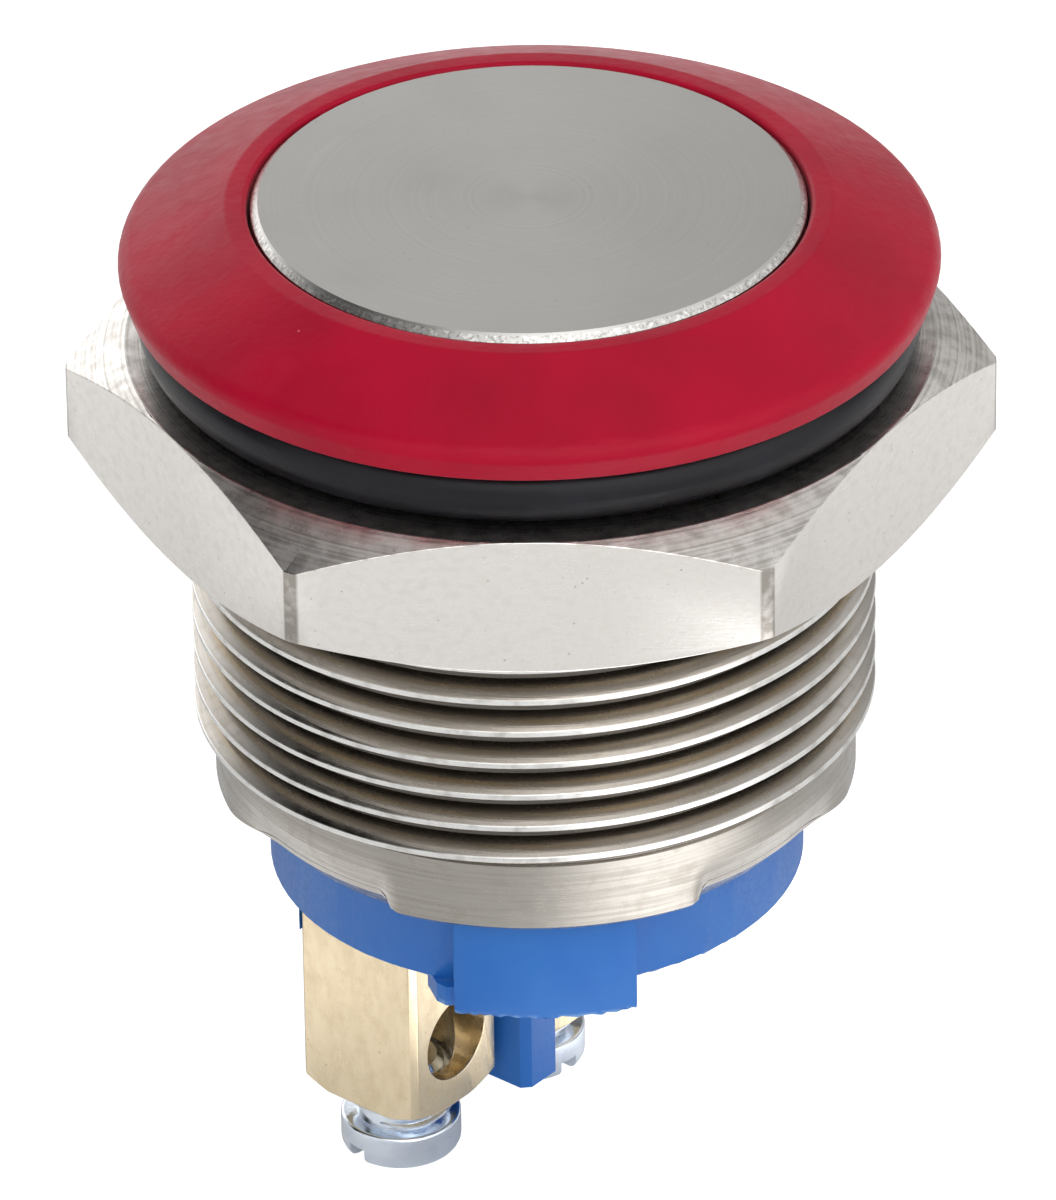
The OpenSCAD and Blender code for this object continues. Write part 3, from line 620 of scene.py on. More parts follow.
class Shaper:
    """Models meshes with Blender's own edit tools, as by hand."""

    @staticmethod
    def clear_selection() -> None:
        """Deselect everything, so that a tool acts on its own piece only."""
        if bpy.context.object is not None and bpy.context.object.mode != "OBJECT":
            bpy.ops.object.mode_set(mode="OBJECT")
        bpy.ops.object.select_all(action="DESELECT")

    @staticmethod
    def edit(piece: bpy.types.Object) -> None:
        """Make a piece the only selected one and open its mesh."""
        Shaper.clear_selection()
        bpy.context.view_layer.objects.active = piece
        piece.select_set(True)
        bpy.ops.object.mode_set(mode="EDIT")

    @staticmethod
    def close() -> None:
        """Leave the mesh and keep the piece selected."""
        bpy.ops.object.mode_set(mode="OBJECT")

    @staticmethod
    def pick(piece: bpy.types.Object, mode: str, test: Callable[[Vector], bool]) -> int:
        """Select the parts of an open mesh whose middle passes a test.

        Args:
            piece: The piece, in edit mode.
            mode: VERT, EDGE or FACE.
            test: Says whether a place in millimetres is wanted.

        Returns:
            How many parts are selected.
        """
        bpy.ops.mesh.select_mode(type=mode)
        bpy.ops.mesh.select_all(action="DESELECT")
        mesh = bmesh.from_edit_mesh(piece.data)
        parts = {"VERT": mesh.verts, "EDGE": mesh.edges, "FACE": mesh.faces}[mode]
        count = 0
        for part in parts:
            if mode == "VERT":
                middle = part.co
            elif mode == "EDGE":
                middle = (part.verts[0].co + part.verts[1].co) / 2
            else:
                middle = part.calc_center_median()
            if test(middle / MM):
                part.select_set(True)
                count += 1
        mesh.select_flush_mode()
        bmesh.update_edit_mesh(piece.data)
        return count

    @staticmethod
    def stroke(name: str, points: Sequence[Point], closed: bool = False) -> bpy.types.Object:
        """Draw a profile by extruding one vertex from point to point.

        Args:
            name: Name of the new piece.
            points: Points of the profile in millimetres.
            closed: Whether the last point joins the first.

        Returns:
            The piece, still in edit mode.
        """
        Shaper.clear_selection()
        bpy.ops.mesh.primitive_plane_add(size=MM, location=(0, 0, 0))
        piece = bpy.context.object
        piece.name = piece.data.name = name
        bpy.ops.object.mode_set(mode="EDIT")
        bpy.ops.mesh.select_mode(type="VERT")
        bpy.ops.mesh.select_all(action="SELECT")
        bpy.ops.mesh.merge(type="CENTER")
        bpy.ops.transform.translate(value=tuple(c * MM for c in points[0]))
        for here, there in zip(points, points[1:]):
            step = tuple((b - a) * MM for a, b in zip(here, there))
            bpy.ops.mesh.extrude_region_move(TRANSFORM_OT_translate={"value": step})
        if closed:
            ends = [Vector(points[0]), Vector(points[-1])]
            Shaper.pick(piece, "VERT", lambda at: min((at - e).length for e in ends) < 1e-4)
            bpy.ops.mesh.edge_face_add()
        bpy.ops.mesh.select_all(action="SELECT")
        return piece

    @staticmethod
    def turn(piece: bpy.types.Object, steps: int) -> None:
        """Spin the open mesh's profile once round the axis and close its seam.

        Args:
            piece: The piece, in edit mode with its profile selected.
            steps: Number of steps in the full turn.
        """
        bpy.ops.mesh.spin(steps=steps, angle=math.tau, center=(0, 0, 0), axis=(0, 0, 1))
        bpy.ops.mesh.select_all(action="SELECT")
        bpy.ops.mesh.remove_doubles(threshold=1e-4 * MM)
        bpy.ops.mesh.normals_make_consistent(inside=False)

    @staticmethod
    def settle(piece: bpy.types.Object, smooth_angle: float = 32) -> None:
        """Apply a piece's modifiers, put its place into its mesh, and smooth it.

        Args:
            piece: The piece.
            smooth_angle: Angle in degrees above which an edge stays sharp.
        """
        Shaper.clear_selection()
        bpy.context.view_layer.objects.active = piece
        piece.select_set(True)
        for modifier in list(piece.modifiers):
            bpy.ops.object.modifier_apply(modifier=modifier.name)
        bpy.ops.object.transform_apply(location=True, rotation=True, scale=True)
        bpy.ops.object.shade_smooth_by_angle(angle=math.radians(smooth_angle))


def dress(piece: bpy.types.Object, material: bpy.types.Material) -> None:
    """Give a piece one material all over.

    Args:
        piece: The piece or CAD node.
        material: Its material.
    """
    piece.data.materials.clear()
    piece.data.materials.append(material)


@dataclass
class Ridge:
    """The ridge of a screw thread, wound as one right-hand helix that sinks into its core at both ends."""

    name: str
    crest_r: float
    depth: float
    pitch: float
    crest_w: float
    start: float
    turns: float
    turn_from: float
    steps_a_turn: int = 144
    sunk: float = 0.12
    soft: float = 0.03
    run_out: float = 0.14

    def section(self) -> list[Point]:
        """Outline the ridge at its lower end, cut along the axis.

        Returns:
            The outline's points.
        """
        root_r = self.crest_r - self.depth
        half = self.crest_w / 2
        foot = min(self.depth * math.tan(math.radians(30)) + half, self.pitch / 2 - 0.02)
        middle, soft = self.start, self.soft
        return [
            (root_r - self.sunk, 0, middle + foot),
            (root_r, 0, middle + foot),
            (self.crest_r - soft, 0, middle + half + soft * 0.6),
            (self.crest_r, 0, middle + half - soft * 0.5),
            (self.crest_r, 0, middle - half + soft * 0.5),
            (self.crest_r - soft, 0, middle - half - soft * 0.6),
            (root_r, 0, middle - foot),
            (root_r - self.sunk, 0, middle - foot),
        ]

    def build(self) -> bpy.types.Object:
        """Wind the ridge round the Z axis.

        Returns:
            The ridge, in object mode.
        """
        piece = Shaper.stroke(self.name, self.section(), closed=True)
        Shaper.close()
        helix = piece.modifiers.new("helix", "SCREW")
        helix.axis = "Z"
        helix.angle = math.tau * self.turns
        helix.screw_offset = self.pitch * self.turns * MM
        helix.steps = helix.render_steps = round(self.steps_a_turn * self.turns)
        Shaper.settle(piece)
        Shaper.edit(piece)
        bpy.ops.mesh.select_mode(type="EDGE")
        bpy.ops.mesh.select_non_manifold()
        bpy.ops.mesh.fill_holes(sides=0)
        self.fade_ends(piece)
        bpy.ops.mesh.select_all(action="SELECT")
        bpy.ops.transform.rotate(value=-math.radians(self.turn_from), orient_axis="Z", center_override=(0, 0, 0))
        bpy.ops.mesh.normals_make_consistent(inside=False)
        Shaper.close()
        Shaper.settle(piece)
        return piece

    def fade_ends(self, piece: bpy.types.Object) -> None:
        """Let the ridge sink into the wall over a short run at both of its ends.

        Args:
            piece: The ridge, in edit mode, not yet turned to its start.
        """
        count = round(self.steps_a_turn * self.turns)

        def step_of(at: Vector) -> int:
            """Number of the step that a place belongs to."""
            share = math.degrees(math.atan2(at.y, at.x)) % 360 / 360
            whole = round((at.z - self.start) / self.pitch - share)
            return round((whole + share) / self.turns * count)

        run = round(self.run_out * self.steps_a_turn)
        for step in range(run + 1):
            sink = 1 - smooth_step(step, 0, run)
            size = 1 - sink * (self.depth + 0.05) / self.crest_r
            for wanted in (step, count - step):
                Shaper.pick(piece, "VERT", lambda at: step_of(at) == wanted)
                bpy.ops.transform.resize(value=(size, size, 1), center_override=(0, 0, 0))


@dataclass
class ThreadedBushing:
    """The nickel-plated bushing: a turned body, its helical thread and its crimped skirt."""

    thread_r: float = 9.415
    thread_depth: float = 0.595
    thread_crest: float = 0.17
    pitch: float = 1.0
    front_crest: float = -7.84
    neck_h: float = 2.34
    thread_h: float = 11.0
    neck_r: float = 8.9
    head_r: float = 9.85
    head_h: float = 0.9
    well_r: float = 7.63
    well_floor: float = -1.0
    guide_r: float = 6.0
    guide_end: float = -5.5
    bay_r: float = 7.4
    cavity_top: float = -7.95
    cavity_r: float = 8.0
    skirt_r: float = 8.88
    skirt_h: float = 2.14
    edge: float = 0.12
    crimp_h: float = 1.28
    crimp_press: float = 0.52
    crease: tuple[float, float] = (27.3, 31.5)
    crimp_fade: tuple[float, float] = (56.0, 74.0)
    thread_start: float = 110.0
    steps: int = 240
    finish: NickelTurned = field(default_factory=NickelTurned)

    @property
    def root_r(self) -> float:
        """Radius at the bottom of the thread."""
        return self.thread_r - self.thread_depth

    @property
    def thread_end(self) -> float:
        """Level at which the thread gives way to the skirt."""
        return -self.neck_h - self.thread_h

    @property
    def skirt_end(self) -> float:
        """Level of the skirt's lower edge."""
        return self.thread_end - self.skirt_h

    def crimp_share(self, at: Vector) -> float:
        """How far a place on the skirt is pressed in.

        Args:
            at: The place in millimetres.

        Returns:
            A share from 0 to 1.
        """
        top = self.skirt_end + self.crimp_h
        down = min(1.0, max(0.0, (top - at.z) / self.crimp_h))
        off_tab = math.degrees(math.atan2(abs(at.x), abs(at.y)))
        return down * smooth_step(off_tab, *self.crease) * (1 - smooth_step(off_tab, *self.crimp_fade))

    def profile(self) -> list[Point]:
        """Outline the body's wall, with several rings down the skirt for the crimps.

        Returns:
            The outline's points.
        """
        rings = 9
        low, top = self.skirt_end + self.edge, self.skirt_end + self.crimp_h
        outer = [(self.skirt_r, 0, top + (low - top) * i / rings) for i in range(rings + 1)]
        inner = [(self.cavity_r, 0, self.skirt_end + (top - self.skirt_end) * i / rings) for i in range(rings + 1)]
        return [
            (self.well_r, 0, self.head_h),
            (self.head_r - self.edge, 0, self.head_h),
            (self.head_r, 0, self.head_h - self.edge),
            (self.head_r, 0, 0),
            (self.neck_r, 0, 0),
            (self.neck_r, 0, -self.neck_h + self.edge),
            (self.root_r, 0, -self.neck_h),
            (self.root_r, 0, self.thread_end),
            (self.skirt_r - self.edge / 2, 0, self.thread_end),
            (self.skirt_r, 0, self.thread_end - self.edge / 2),
            *outer,
            (self.skirt_r - self.edge, 0, self.skirt_end),
            *inner,
            (self.cavity_r, 0, self.cavity_top),
            (self.bay_r, 0, self.cavity_top),
            (self.bay_r, 0, self.guide_end),
            (self.guide_r, 0, self.guide_end),
            (self.guide_r, 0, self.well_floor),
            (self.well_r, 0, self.well_floor),
        ]

    def body(self) -> bpy.types.Object:
        """Turn the body and press its skirt in at the four crimps.

        Returns:
            The body.
        """
        piece = Shaper.stroke("bushing_body", self.profile(), closed=True)
        Shaper.turn(piece, self.steps)
        Shaper.close()
        for name, sign, test in (
            ("press_outside", -1, lambda r: r > (self.cavity_r + self.skirt_r) / 2),
            ("press_inside", 1, lambda r: r <= (self.cavity_r + self.skirt_r) / 2),
        ):
            group = piece.vertex_groups.new(name=name)
            for vertex in piece.data.vertices:
                at = vertex.co / MM
                share = self.crimp_share(at)
                if share > 0 and at.z < self.cavity_top and test(math.hypot(at.x, at.y)):
                    group.add([vertex.index], share, "REPLACE")
            press = piece.modifiers.new(name, "DISPLACE")
            press.vertex_group = name
            press.direction = "NORMAL"
            press.mid_level = 0
            press.strength = sign * self.crimp_press * MM
        Shaper.settle(piece)
        return piece

    def thread(self) -> bpy.types.Object:
        """Wind the thread's ridge round the body, with its crests at the photographed levels in front.

        Returns:
            The ridge.
        """
        lowest = self.front_crest - 5 * self.pitch
        start = lowest - (270 - self.thread_start) / 360 * self.pitch
        turns = (-self.neck_h - self.pitch / 2 - start) / self.pitch
        ridge = Ridge(
            "bushing_thread", self.thread_r, self.thread_depth, self.pitch, self.thread_crest,
            start, turns, self.thread_start,
        )
        return ridge.build()

    def build(self) -> None:
        """Model both pieces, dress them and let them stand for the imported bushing."""
        material = self.finish.material()
        for piece in (self.body(), self.thread()):
            dress(piece, material)
            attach(piece, Body.HOUSING.value)
            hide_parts("bushing")
            LOG.info("%s has %d faces", piece.name, len(piece.data.polygons))


@dataclass
class EasedPiece:
    """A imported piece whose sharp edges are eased, as tumbling and plating leave them.

    A moulding may have an uneven fringe along its outer edges at given levels, and one upright
    corner, given by its place, that is cut off.
    """

    node: str
    body: Body
    slot: Slot
    width: float = 0.05
    limit: float = 28
    segments: int = 2
    ragged: float = 0.0
    ragged_levels: tuple[float, ...] = ()
    ragged_outside: float = 0.0
    corner: tuple[float, float] | None = None
    corner_w: float = 0.24

    def copy_of(self, source: bpy.types.Object) -> bpy.types.Object:
        """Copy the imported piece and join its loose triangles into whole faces.

        Args:
            source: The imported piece.

        Returns:
            The copy.
        """
        piece = bpy.data.objects.new(f"{self.node}_eased", source.data.copy())
        bpy.context.scene.collection.objects.link(piece)
        Shaper.edit(piece)
        bpy.ops.mesh.select_mode(type="VERT")
        bpy.ops.mesh.select_all(action="SELECT")
        bpy.ops.mesh.remove_doubles(threshold=1e-4 * MM)
        bpy.ops.mesh.dissolve_limited(angle_limit=math.radians(0.6))
        bpy.ops.mesh.normals_make_consistent(inside=False)
        Shaper.close()
        return piece

    def roughen(self, piece: bpy.types.Object) -> None:
        """Leave an uneven fringe of flash along the lower edges of a moulding.

        Args:
            piece: The copied piece.
        """

        def on_fringe(at: Vector) -> bool:
            """Whether a place lies on a lower, outer edge."""
            on_level = any(abs(at.z - level) < 0.01 for level in self.ragged_levels)
            return on_level and math.hypot(at.x, at.y) > self.ragged_outside

        Shaper.edit(piece)
        for level in self.ragged_levels:
            bpy.ops.mesh.select_all(action="SELECT")
            bpy.ops.mesh.bisect(plane_co=(0, 0, (level + self.ragged) * MM), plane_no=(0, 0, 1))
        Shaper.pick(piece, "EDGE", on_fringe)
        bpy.ops.mesh.subdivide(number_cuts=3)
        Shaper.close()
        group = piece.vertex_groups.new(name="fringe")
        for vertex in piece.data.vertices:
            if on_fringe(vertex.co / MM):
                group.add([vertex.index], 1.0, "REPLACE")
        grain = bpy.data.textures.new(f"{self.node}_fringe", "CLOUDS")
        grain.noise_scale = 0.22 * MM
        fringe = piece.modifiers.new("fringe", "DISPLACE")
        fringe.texture = grain
        fringe.texture_coords = "LOCAL"
        fringe.vertex_group = group.name
        fringe.mid_level = 0.6
        fringe.strength = self.ragged * MM

    def cut_corner(self, piece: bpy.types.Object, corner: tuple[float, float]) -> None:
        """Cut off one upright corner.

        Args:
            piece: The copied piece.
            corner: The corner's place across the axis.
        """
        Shaper.edit(piece)
        Shaper.pick(piece, "EDGE", lambda at: math.hypot(at.x - corner[0], at.y - corner[1]) < 0.03)
        bpy.ops.mesh.bevel(offset=self.corner_w * MM, segments=1)
        Shaper.close()

    def build(self, source: bpy.types.Object, material: bpy.types.Material) -> None:
        """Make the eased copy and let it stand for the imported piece.

        Args:
            source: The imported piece.
            material: Its finish.
        """
        piece = self.copy_of(source)
        if self.corner is not None:
            self.cut_corner(piece, self.corner)
        if self.ragged:
            self.roughen(piece)
        Shaper.clear_selection()
        bpy.context.view_layer.objects.active = piece
        piece.select_set(True)
        bpy.ops.object.shade_smooth_by_angle(angle=math.radians(35))
        bevel = piece.modifiers.new("ease", "BEVEL")
        bevel.limit_method = "ANGLE"
        bevel.angle_limit = math.radians(self.limit)
        bevel.width = self.width * MM
        bevel.segments = self.segments
        for modifier in list(piece.modifiers):
            bpy.ops.object.modifier_apply(modifier=modifier.name)
        bpy.ops.object.shade_smooth_by_angle(angle=math.radians(38))
        dress(piece, material)
        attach(piece, self.body.value)
        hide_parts(self.node)
        LOG.info("%s has %d faces", piece.name, len(piece.data.polygons))


@dataclass
class TerminalScrew:
    """A slotted clamping screw with a rounded head and a cut thread."""

    node: str
    body: Body
    place: tuple[float, float]
    slot_angle: float
    head_top: float = -26.8
    head_h: float = 1.1
    head_r: float = 1.7
    rim_r: float = 0.3
    shank_r: float = 1.5
    shank_h: float = 1.8
    thread_depth: float = 0.26
    pitch: float = 0.5
    slot_w: float = 0.6
    slot_d: float = 0.5

    def outline(self) -> list[Point]:
        """Outline the screw's core and head, from the tip down to the slotted face.

        Returns:
            The outline's points.
        """
        core_r = self.shank_r - self.thread_depth
        tip, low = self.head_top + self.shank_h, self.head_top - self.head_h
        top_rim = 0.1
        upper = [
            (self.head_r - top_rim + top_rim * math.sin(a), 0, self.head_top - top_rim + top_rim * math.cos(a))
            for a in (math.radians(d) for d in range(0, 91, 30))
        ]
        lower = [
            (self.head_r - self.rim_r + self.rim_r * math.cos(a), 0, low + self.rim_r - self.rim_r * math.sin(a))
            for a in (math.radians(d) for d in range(0, 91, 15))
        ]
        return [(0, 0, tip), (core_r - 0.2, 0, tip), (core_r, 0, tip - 0.2), (core_r, 0, self.head_top), *upper, *lower, (0, 0, low)]

    def head(self) -> bpy.types.Object:
        """Turn the core and head and saw the slot.

        Returns:
            The piece, standing on the Z axis.
        """
        piece = Shaper.stroke(f"{self.node}_body", self.outline())
        Shaper.turn(piece, 96)
        Shaper.close()
        Shaper.clear_selection()
        bpy.ops.mesh.primitive_cube_add(size=MM, location=(0, 0, (self.head_top - self.head_h) * MM))
        saw = bpy.context.object
        saw.scale = (self.head_r * 3, self.slot_w, self.slot_d * 2)
        saw.rotation_euler.z = math.radians(self.slot_angle)
        bpy.context.view_layer.update()
        cut = piece.modifiers.new("slot", "BOOLEAN")
        cut.operation = "DIFFERENCE"
        cut.object = saw
        cut.solver = "EXACT"
        ease = piece.modifiers.new("ease", "BEVEL")
        ease.limit_method = "ANGLE"
        ease.angle_limit = math.radians(50)
        ease.width = 0.04 * MM
        ease.segments = 2
        Shaper.settle(piece, 42)
        bpy.data.objects.remove(saw)
        return piece

    def build(self, material: bpy.types.Material) -> None:
        """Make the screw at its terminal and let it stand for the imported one.

        Args:
            material: Its finish.
        """
        turns = (self.shank_h - 0.4) / self.pitch
        ridge = Ridge(
            f"{self.node}_thread", self.shank_r, self.thread_depth, self.pitch, 0.06,
            self.head_top + 0.15, turns, self.slot_angle, 48, 0.06, 0.02, 0.2,
        )
        for piece in (self.head(), ridge.build()):
            Shaper.edit(piece)
            bpy.ops.mesh.select_all(action="SELECT")
            bpy.ops.transform.translate(value=(self.place[0] * MM, self.place[1] * MM, 0))
            Shaper.close()
            dress(piece, material)
            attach(piece, self.body.value)
            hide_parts(self.node)
            LOG.info("%s has %d faces", piece.name, len(piece.data.polygons))


@dataclass
class CoilSpring:
    """A packed compression spring."""

    node: str
    body: Body
    held_z: float
    free_h: float
    travel: float

    def build(self, source: bpy.types.Object, material: bpy.types.Material) -> None:
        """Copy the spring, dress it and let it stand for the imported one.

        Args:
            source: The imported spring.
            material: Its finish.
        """
        piece = bpy.data.objects.new(f"{self.node}_coil", source.data.copy())
        bpy.context.scene.collection.objects.link(piece)
        Shaper.edit(piece)
        bpy.ops.mesh.select_all(action="SELECT")
        bpy.ops.mesh.remove_doubles(threshold=1e-4 * MM)
        bpy.ops.mesh.normals_make_consistent(inside=False)
        Shaper.close()
        bpy.ops.object.shade_smooth_by_angle(angle=math.radians(40))
        dress(piece, material)
        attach(piece, self.body.value)
        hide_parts(self.node)
        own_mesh(piece)


@dataclass
class DressedNodes:
    """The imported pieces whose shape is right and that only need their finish."""

    nodes: dict[str, bpy.types.Object]

    def coats(self) -> dict[str, bpy.types.Material]:
        """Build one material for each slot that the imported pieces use."""
        return {
            Slot.RED_PAINT.value: PowderCoat().material(),
            Slot.STAINLESS.value: TurnedSteel().material(),
            Slot.NICKEL_NUT.value: NickelMilled().material(),
            Slot.RUBBER.value: Rubber().material(),
            Slot.BLUE_PLASTIC.value: MouldedPlastic(flash_edges=((-18.3, 7.25, 7.6), (-18.75, 7.25, 9.0))).material(),
            Slot.BLACK_PLASTIC.value: MouldedPlastic("black_moulded", shade(30, 30, 32), shade(48, 48, 50)).material(),
            Slot.WHITE_PLASTIC.value: MouldedPlastic("white_moulded", shade(226, 222, 210), shade(238, 235, 226)).material(),
            Slot.BRASS.value: DrawnMetal("brass_strip", shade(206, 170, 104), shade(160, 122, 66), 0.3, (1, 1, 6)).material(),
            Slot.PALE_BRASS.value: DrawnMetal().material(),
            Slot.SILVER.value: DrawnMetal("silver_tips", shade(226, 226, 228), shade(190, 190, 194), 0.25, (2, 2, 2)).material(),
            Slot.ZINC.value: DrawnMetal(
                "zinc_plate", shade(226, 233, 242), shade(196, 206, 220), 0.13, (1, 1, 2), shade(110, 116, 126), 0.012
            ).material(),
            Slot.SPRING_STEEL.value: DrawnMetal("spring_steel", shade(170, 172, 176), shade(120, 122, 126), 0.32, (2, 2, 4)).material(),
        }

    def build(self, subparts: Sequence[dict[str, str]], coats: dict[str, bpy.types.Material]) -> None:
        """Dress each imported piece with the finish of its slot.

        Args:
            subparts: The record's rows of node and material slot.
            coats: The material of each slot.
        """
        for row in subparts:
            node, slot = row["node"], row["material_slot"]
            if slot in coats:
                dress(self.nodes[node], coats[slot])
                LOG.info("%s is finished in %s", node, slot)


@dataclass(frozen=True)
class SkyPatch:
    """A soft bright patch of the surroundings.

    The azimuth is measured in degrees from the back, positive to the right, and the reach is the
    angle from the patch's middle at which its light has faded out.
    """

    azimuth: float
    elevation: float
    reach: float
    level: float

    def direction(self) -> Point:
        """Direction from the object to the middle of the patch."""
        a, e = math.radians(self.azimuth), math.radians(self.elevation)
        return math.sin(a) * math.cos(e), math.cos(a) * math.cos(e), math.sin(e)


@dataclass(frozen=True)
class FloorCard:
    """A white card on the floor that shows in the metal; its place and reach are in millimetres."""

    x: float
    y: float
    reach: float
    level: float

    def glow(self, g: Graph) -> bpy.types.NodeSocket:
        """Light of the card across the floor.

        Args:
            g: Nodes of the floor's material.

        Returns:
            The light's output.
        """
        away = g.node("ShaderNodeVectorMath", operation="LENGTH")
        g.join(g.stretched((1, 1, 0), shift=(-self.x, -self.y, 0)), away.inputs[0])
        return g.spread(away.outputs["Value"], self.reach * 0.35, self.reach, self.level, 0)


@dataclass
class Studio:
    """Floor, lamps, surroundings and camera."""

    azimuth: float = -1.3
    elevation: float = 31.42
    distance: float = 330.8
    aim_z: float = -10.35
    aim_side: float = -0.163
    roll: float = -0.0134
    lens: float = 360.3
    floor_gap: float = 0.02
    under_glow: float = 0.9
    far_glow: float = 0.27
    cards: tuple[FloorCard, ...] = (
        FloorCard(19, -24, 20, 1.7),
        FloorCard(1, -15, 9, 2.4),
        FloorCard(-14, -6, 12, 0.4),
        FloorCard(-16, 4, 9, 0.3),
        FloorCard(13, 0, 11, 0.6),
        FloorCard(6, 3, 6, 0.9),
    )
    patches: tuple[SkyPatch, ...] = (
        SkyPatch(-20, 12, 40, 1.5),
        SkyPatch(45, 12, 40, 0.65),
        SkyPatch(-45, 12, 40, 0.85),
        SkyPatch(135, 12, 68, 1.85),
        SkyPatch(-135, 12, 48, 1.2),
        SkyPatch(60, 48, 36, 0.7),
        SkyPatch(180, 48, 36, 1.65),
        SkyPatch(0, 85, 34, 0.8),
    )

    def camera(self) -> None:
        """Set the camera at the photograph's angle and distance."""
        a, e = math.radians(self.azimuth), math.radians(self.elevation)
        back = Vector((math.sin(a) * math.cos(e), -math.cos(a) * math.cos(e), math.sin(e)))
        right = Vector((math.cos(a), math.sin(a), 0))
        aim = Vector((0, 0, self.aim_z)) + right * self.aim_side
        lens = bpy.data.cameras.new("camera")
        lens.lens = self.lens
        lens.sensor_width = 36
        lens.clip_start, lens.clip_end = 0.01, 20
        camera = bpy.data.objects.new("camera", lens)
        bpy.context.scene.collection.objects.link(camera)
        camera.location = (aim + back * self.distance) * MM
        look = (-back).to_track_quat("-Z", "Y").to_matrix().to_4x4()
        camera.rotation_euler = look.to_euler()
        camera.rotation_euler.rotate_axis("Z", self.roll)
        bpy.context.scene.camera = camera

    def floor(self, level: float) -> None:
        """Lay a pale floor just under the object.

        Args:
            level: Height of the object's lowest point in metres.
        """
        Shaper.clear_selection()
        bpy.ops.mesh.primitive_circle_add(vertices=96, radius=1.6, fill_type="NGON", location=(0, 0, level - self.floor_gap * MM))
        piece = bpy.context.object
        piece.name = "floor"
        g = Graph("pale_floor")
        path = g.node("ShaderNodeLightPath")
        seen = g.sum(path.outputs["Is Camera Ray"], path.outputs["Is Glossy Ray"], "MAXIMUM")
        seen = g.sum(seen, path.outputs["Is Transmission Ray"], "MAXIMUM")
        distance = g.axis_distance()
        lit = g.spread(distance, 38, 56, 0.0, self.far_glow)
        for card in self.cards:
            lit = g.sum(lit, card.glow(g))
        # Painted light: camera rays see the floor brighter close under the object, which washes out the object's
        # shadow there.
        camera_glow = g.spread(distance, 18, 27, self.under_glow, 0.56)
        glow = g.sum(path.outputs["Is Camera Ray"], camera_glow, "MULTIPLY")
        glow = g.sum(glow, g.sum(seen, lit, "MULTIPLY"), "MAXIMUM")
        g.finish(Base_Color=(0.8, 0.8, 0.8), Roughness=0.9, Specular_IOR_Level=0.0, Emission_Color=(1.0, 1.0, 1.0), Emission_Strength=glow)
        dress(piece, g.material)
        piece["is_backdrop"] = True

    def surroundings(self) -> None:
        """Give the world its soft patches of light, as white panels round a dark room."""
        world = bpy.data.worlds.new("studio")
        bpy.context.scene.world = world
        world.use_nodes = True
        tree = world.node_tree
        tree.nodes.clear()
        output = tree.nodes.new("ShaderNodeOutputWorld")
        background = tree.nodes.new("ShaderNodeBackground")
        place = tree.nodes.new("ShaderNodeTexCoord")
        total = None
        for patch in self.patches:
            tilt = tree.nodes.new("ShaderNodeVectorMath")
            tilt.operation = "DOT_PRODUCT"
            tilt.inputs[1].default_value = patch.direction()
            tree.links.new(place.outputs["Generated"], tilt.inputs[0])
            fade = tree.nodes.new("ShaderNodeMapRange")
            fade.interpolation_type = "SMOOTHSTEP"
            fade.inputs["From Min"].default_value = math.cos(math.radians(patch.reach))
            fade.inputs["To Max"].default_value = patch.level
            tree.links.new(tilt.outputs["Value"], fade.inputs["Value"])
            if total is None:
                total = fade.outputs["Result"]
                continue
            add = tree.nodes.new("ShaderNodeMath")
            tree.links.new(total, add.inputs[0])
            tree.links.new(fade.outputs["Result"], add.inputs[1])
            total = add.outputs[0]
        tree.links.new(total, background.inputs["Strength"])
        tree.links.new(background.outputs[0], output.inputs[0])

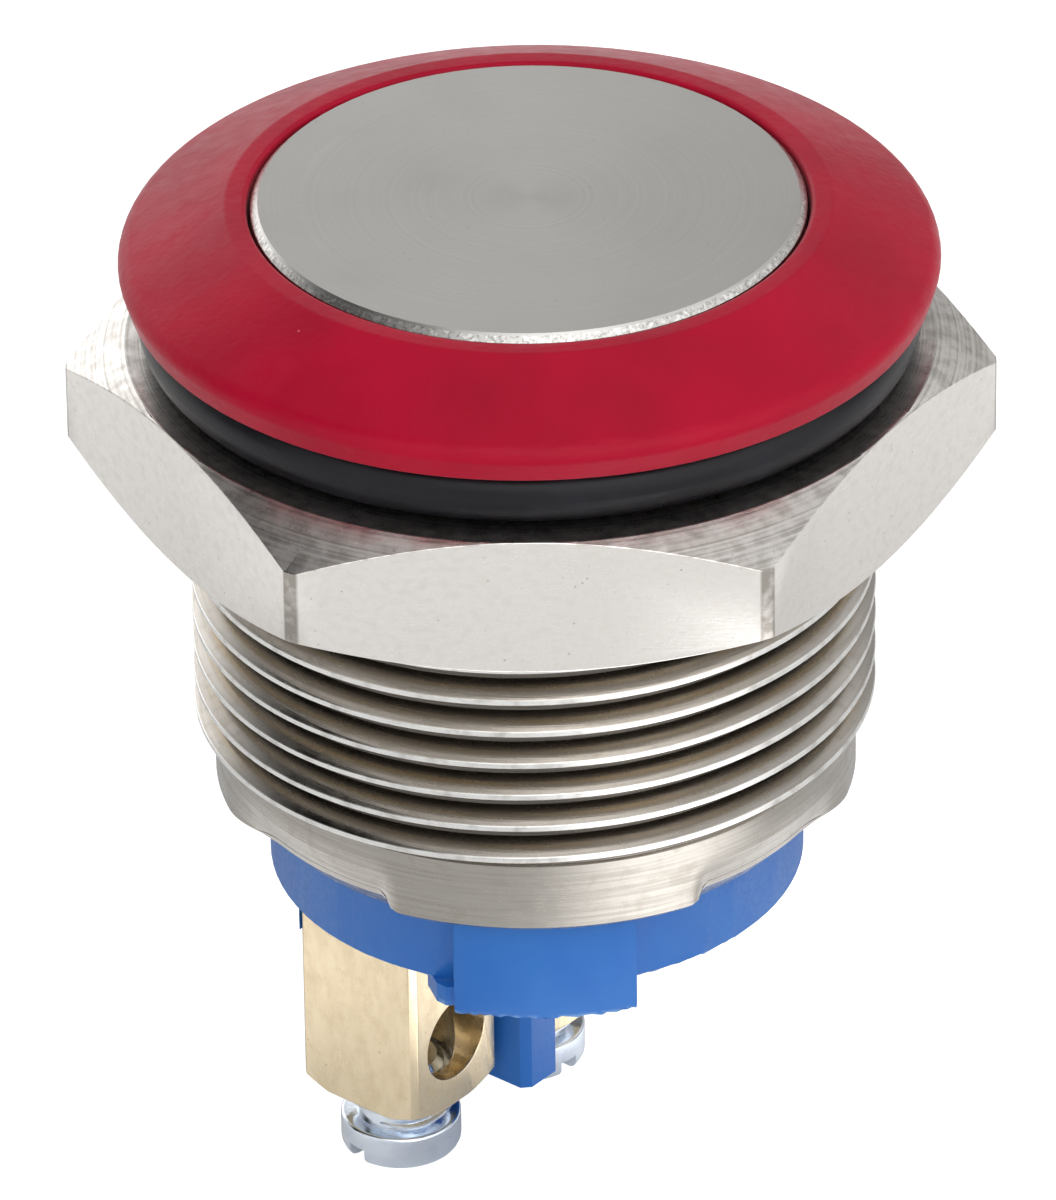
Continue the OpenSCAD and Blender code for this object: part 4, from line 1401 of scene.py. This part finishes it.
    def lamp(self, name: str, at: Point, size: tuple[float, float], power: float, tint: Colour = (1, 1, 1)) -> None:
        """Hang one soft lamp that faces the object.

        Args:
            name: Name of the lamp.
            at: Its place in metres.
            size: Its width and height in metres.
            power: Its power in watts.
            tint: Its colour.
        """
        data = bpy.data.lights.new(name, "AREA")
        data.shape = "RECTANGLE"
        data.size, data.size_y = size
        data.energy = power
        data.color = tint
        lamp = bpy.data.objects.new(name, data)
        bpy.context.scene.collection.objects.link(lamp)
        lamp.location = at
        target = Vector((0, 0, -0.01))
        lamp.rotation_euler = (target - Vector(at)).to_track_quat("-Z", "Y").to_euler()

    def build(self, level: float) -> None:
        """Set up the whole studio.

        Args:
            level: Height of the object's lowest point in metres.
        """
        bpy.context.scene.view_settings.view_transform = "Standard"
        self.camera()
        self.floor(level)
        self.surroundings()
        self.lamp("overhead_softbox", (-0.02, 0.22, 0.75), (0.26, 0.55), 0.1)


def main() -> None:
    """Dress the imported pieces, model the ones that need more, and set up the studio."""
    logging.basicConfig(level=logging.INFO, format="%(name)s: %(message)s")
    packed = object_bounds()
    nodes = frame["nodes"]
    dressed = DressedNodes(nodes)
    coats = dressed.coats()
    dressed.build(frame["record"]["subparts"], coats)
    ThreadedBushing().build()
    for eased in (
        EasedPiece("panel_nut", Body.NUT, Slot.NICKEL_NUT, 0.05),
        EasedPiece("bezel", Body.HOUSING, Slot.RED_PAINT, 0.2, 20, 4),
        EasedPiece("base", Body.HOUSING, Slot.BLUE_PLASTIC, 0.06, 40, 2, 0.18, (-18.3, -18.75), 7.2, (-0.393, -0.52)),
        EasedPiece("terminal_bar_a", Body.HOUSING, Slot.PALE_BRASS, 0.03),
        EasedPiece("terminal_bar_b", Body.HOUSING, Slot.PALE_BRASS, 0.03),
    ):
        eased.build(nodes[eased.node], coats[eased.slot.value])
    for spring in (
        CoilSpring("return_spring", Body.HOUSING, -16.9, 5.05, 1.2),
        CoilSpring("contact_spring", Body.PLUNGER, -8.0, 3.0, 0.45),
    ):
        spring.build(nodes[spring.node], coats[Slot.SPRING_STEEL.value])
    for screw in (
        TerminalScrew("terminal_screw_a", Body.SCREW_A, (-3.948, -0.304), 171 + 49.4),
        TerminalScrew("terminal_screw_b", Body.SCREW_B, (-0.304, 3.948), 86 + 49.4),
    ):
        screw.build(coats[Slot.ZINC.value])
    Studio().build(packed[0].z)


if __name__ == "__main__":
    main()
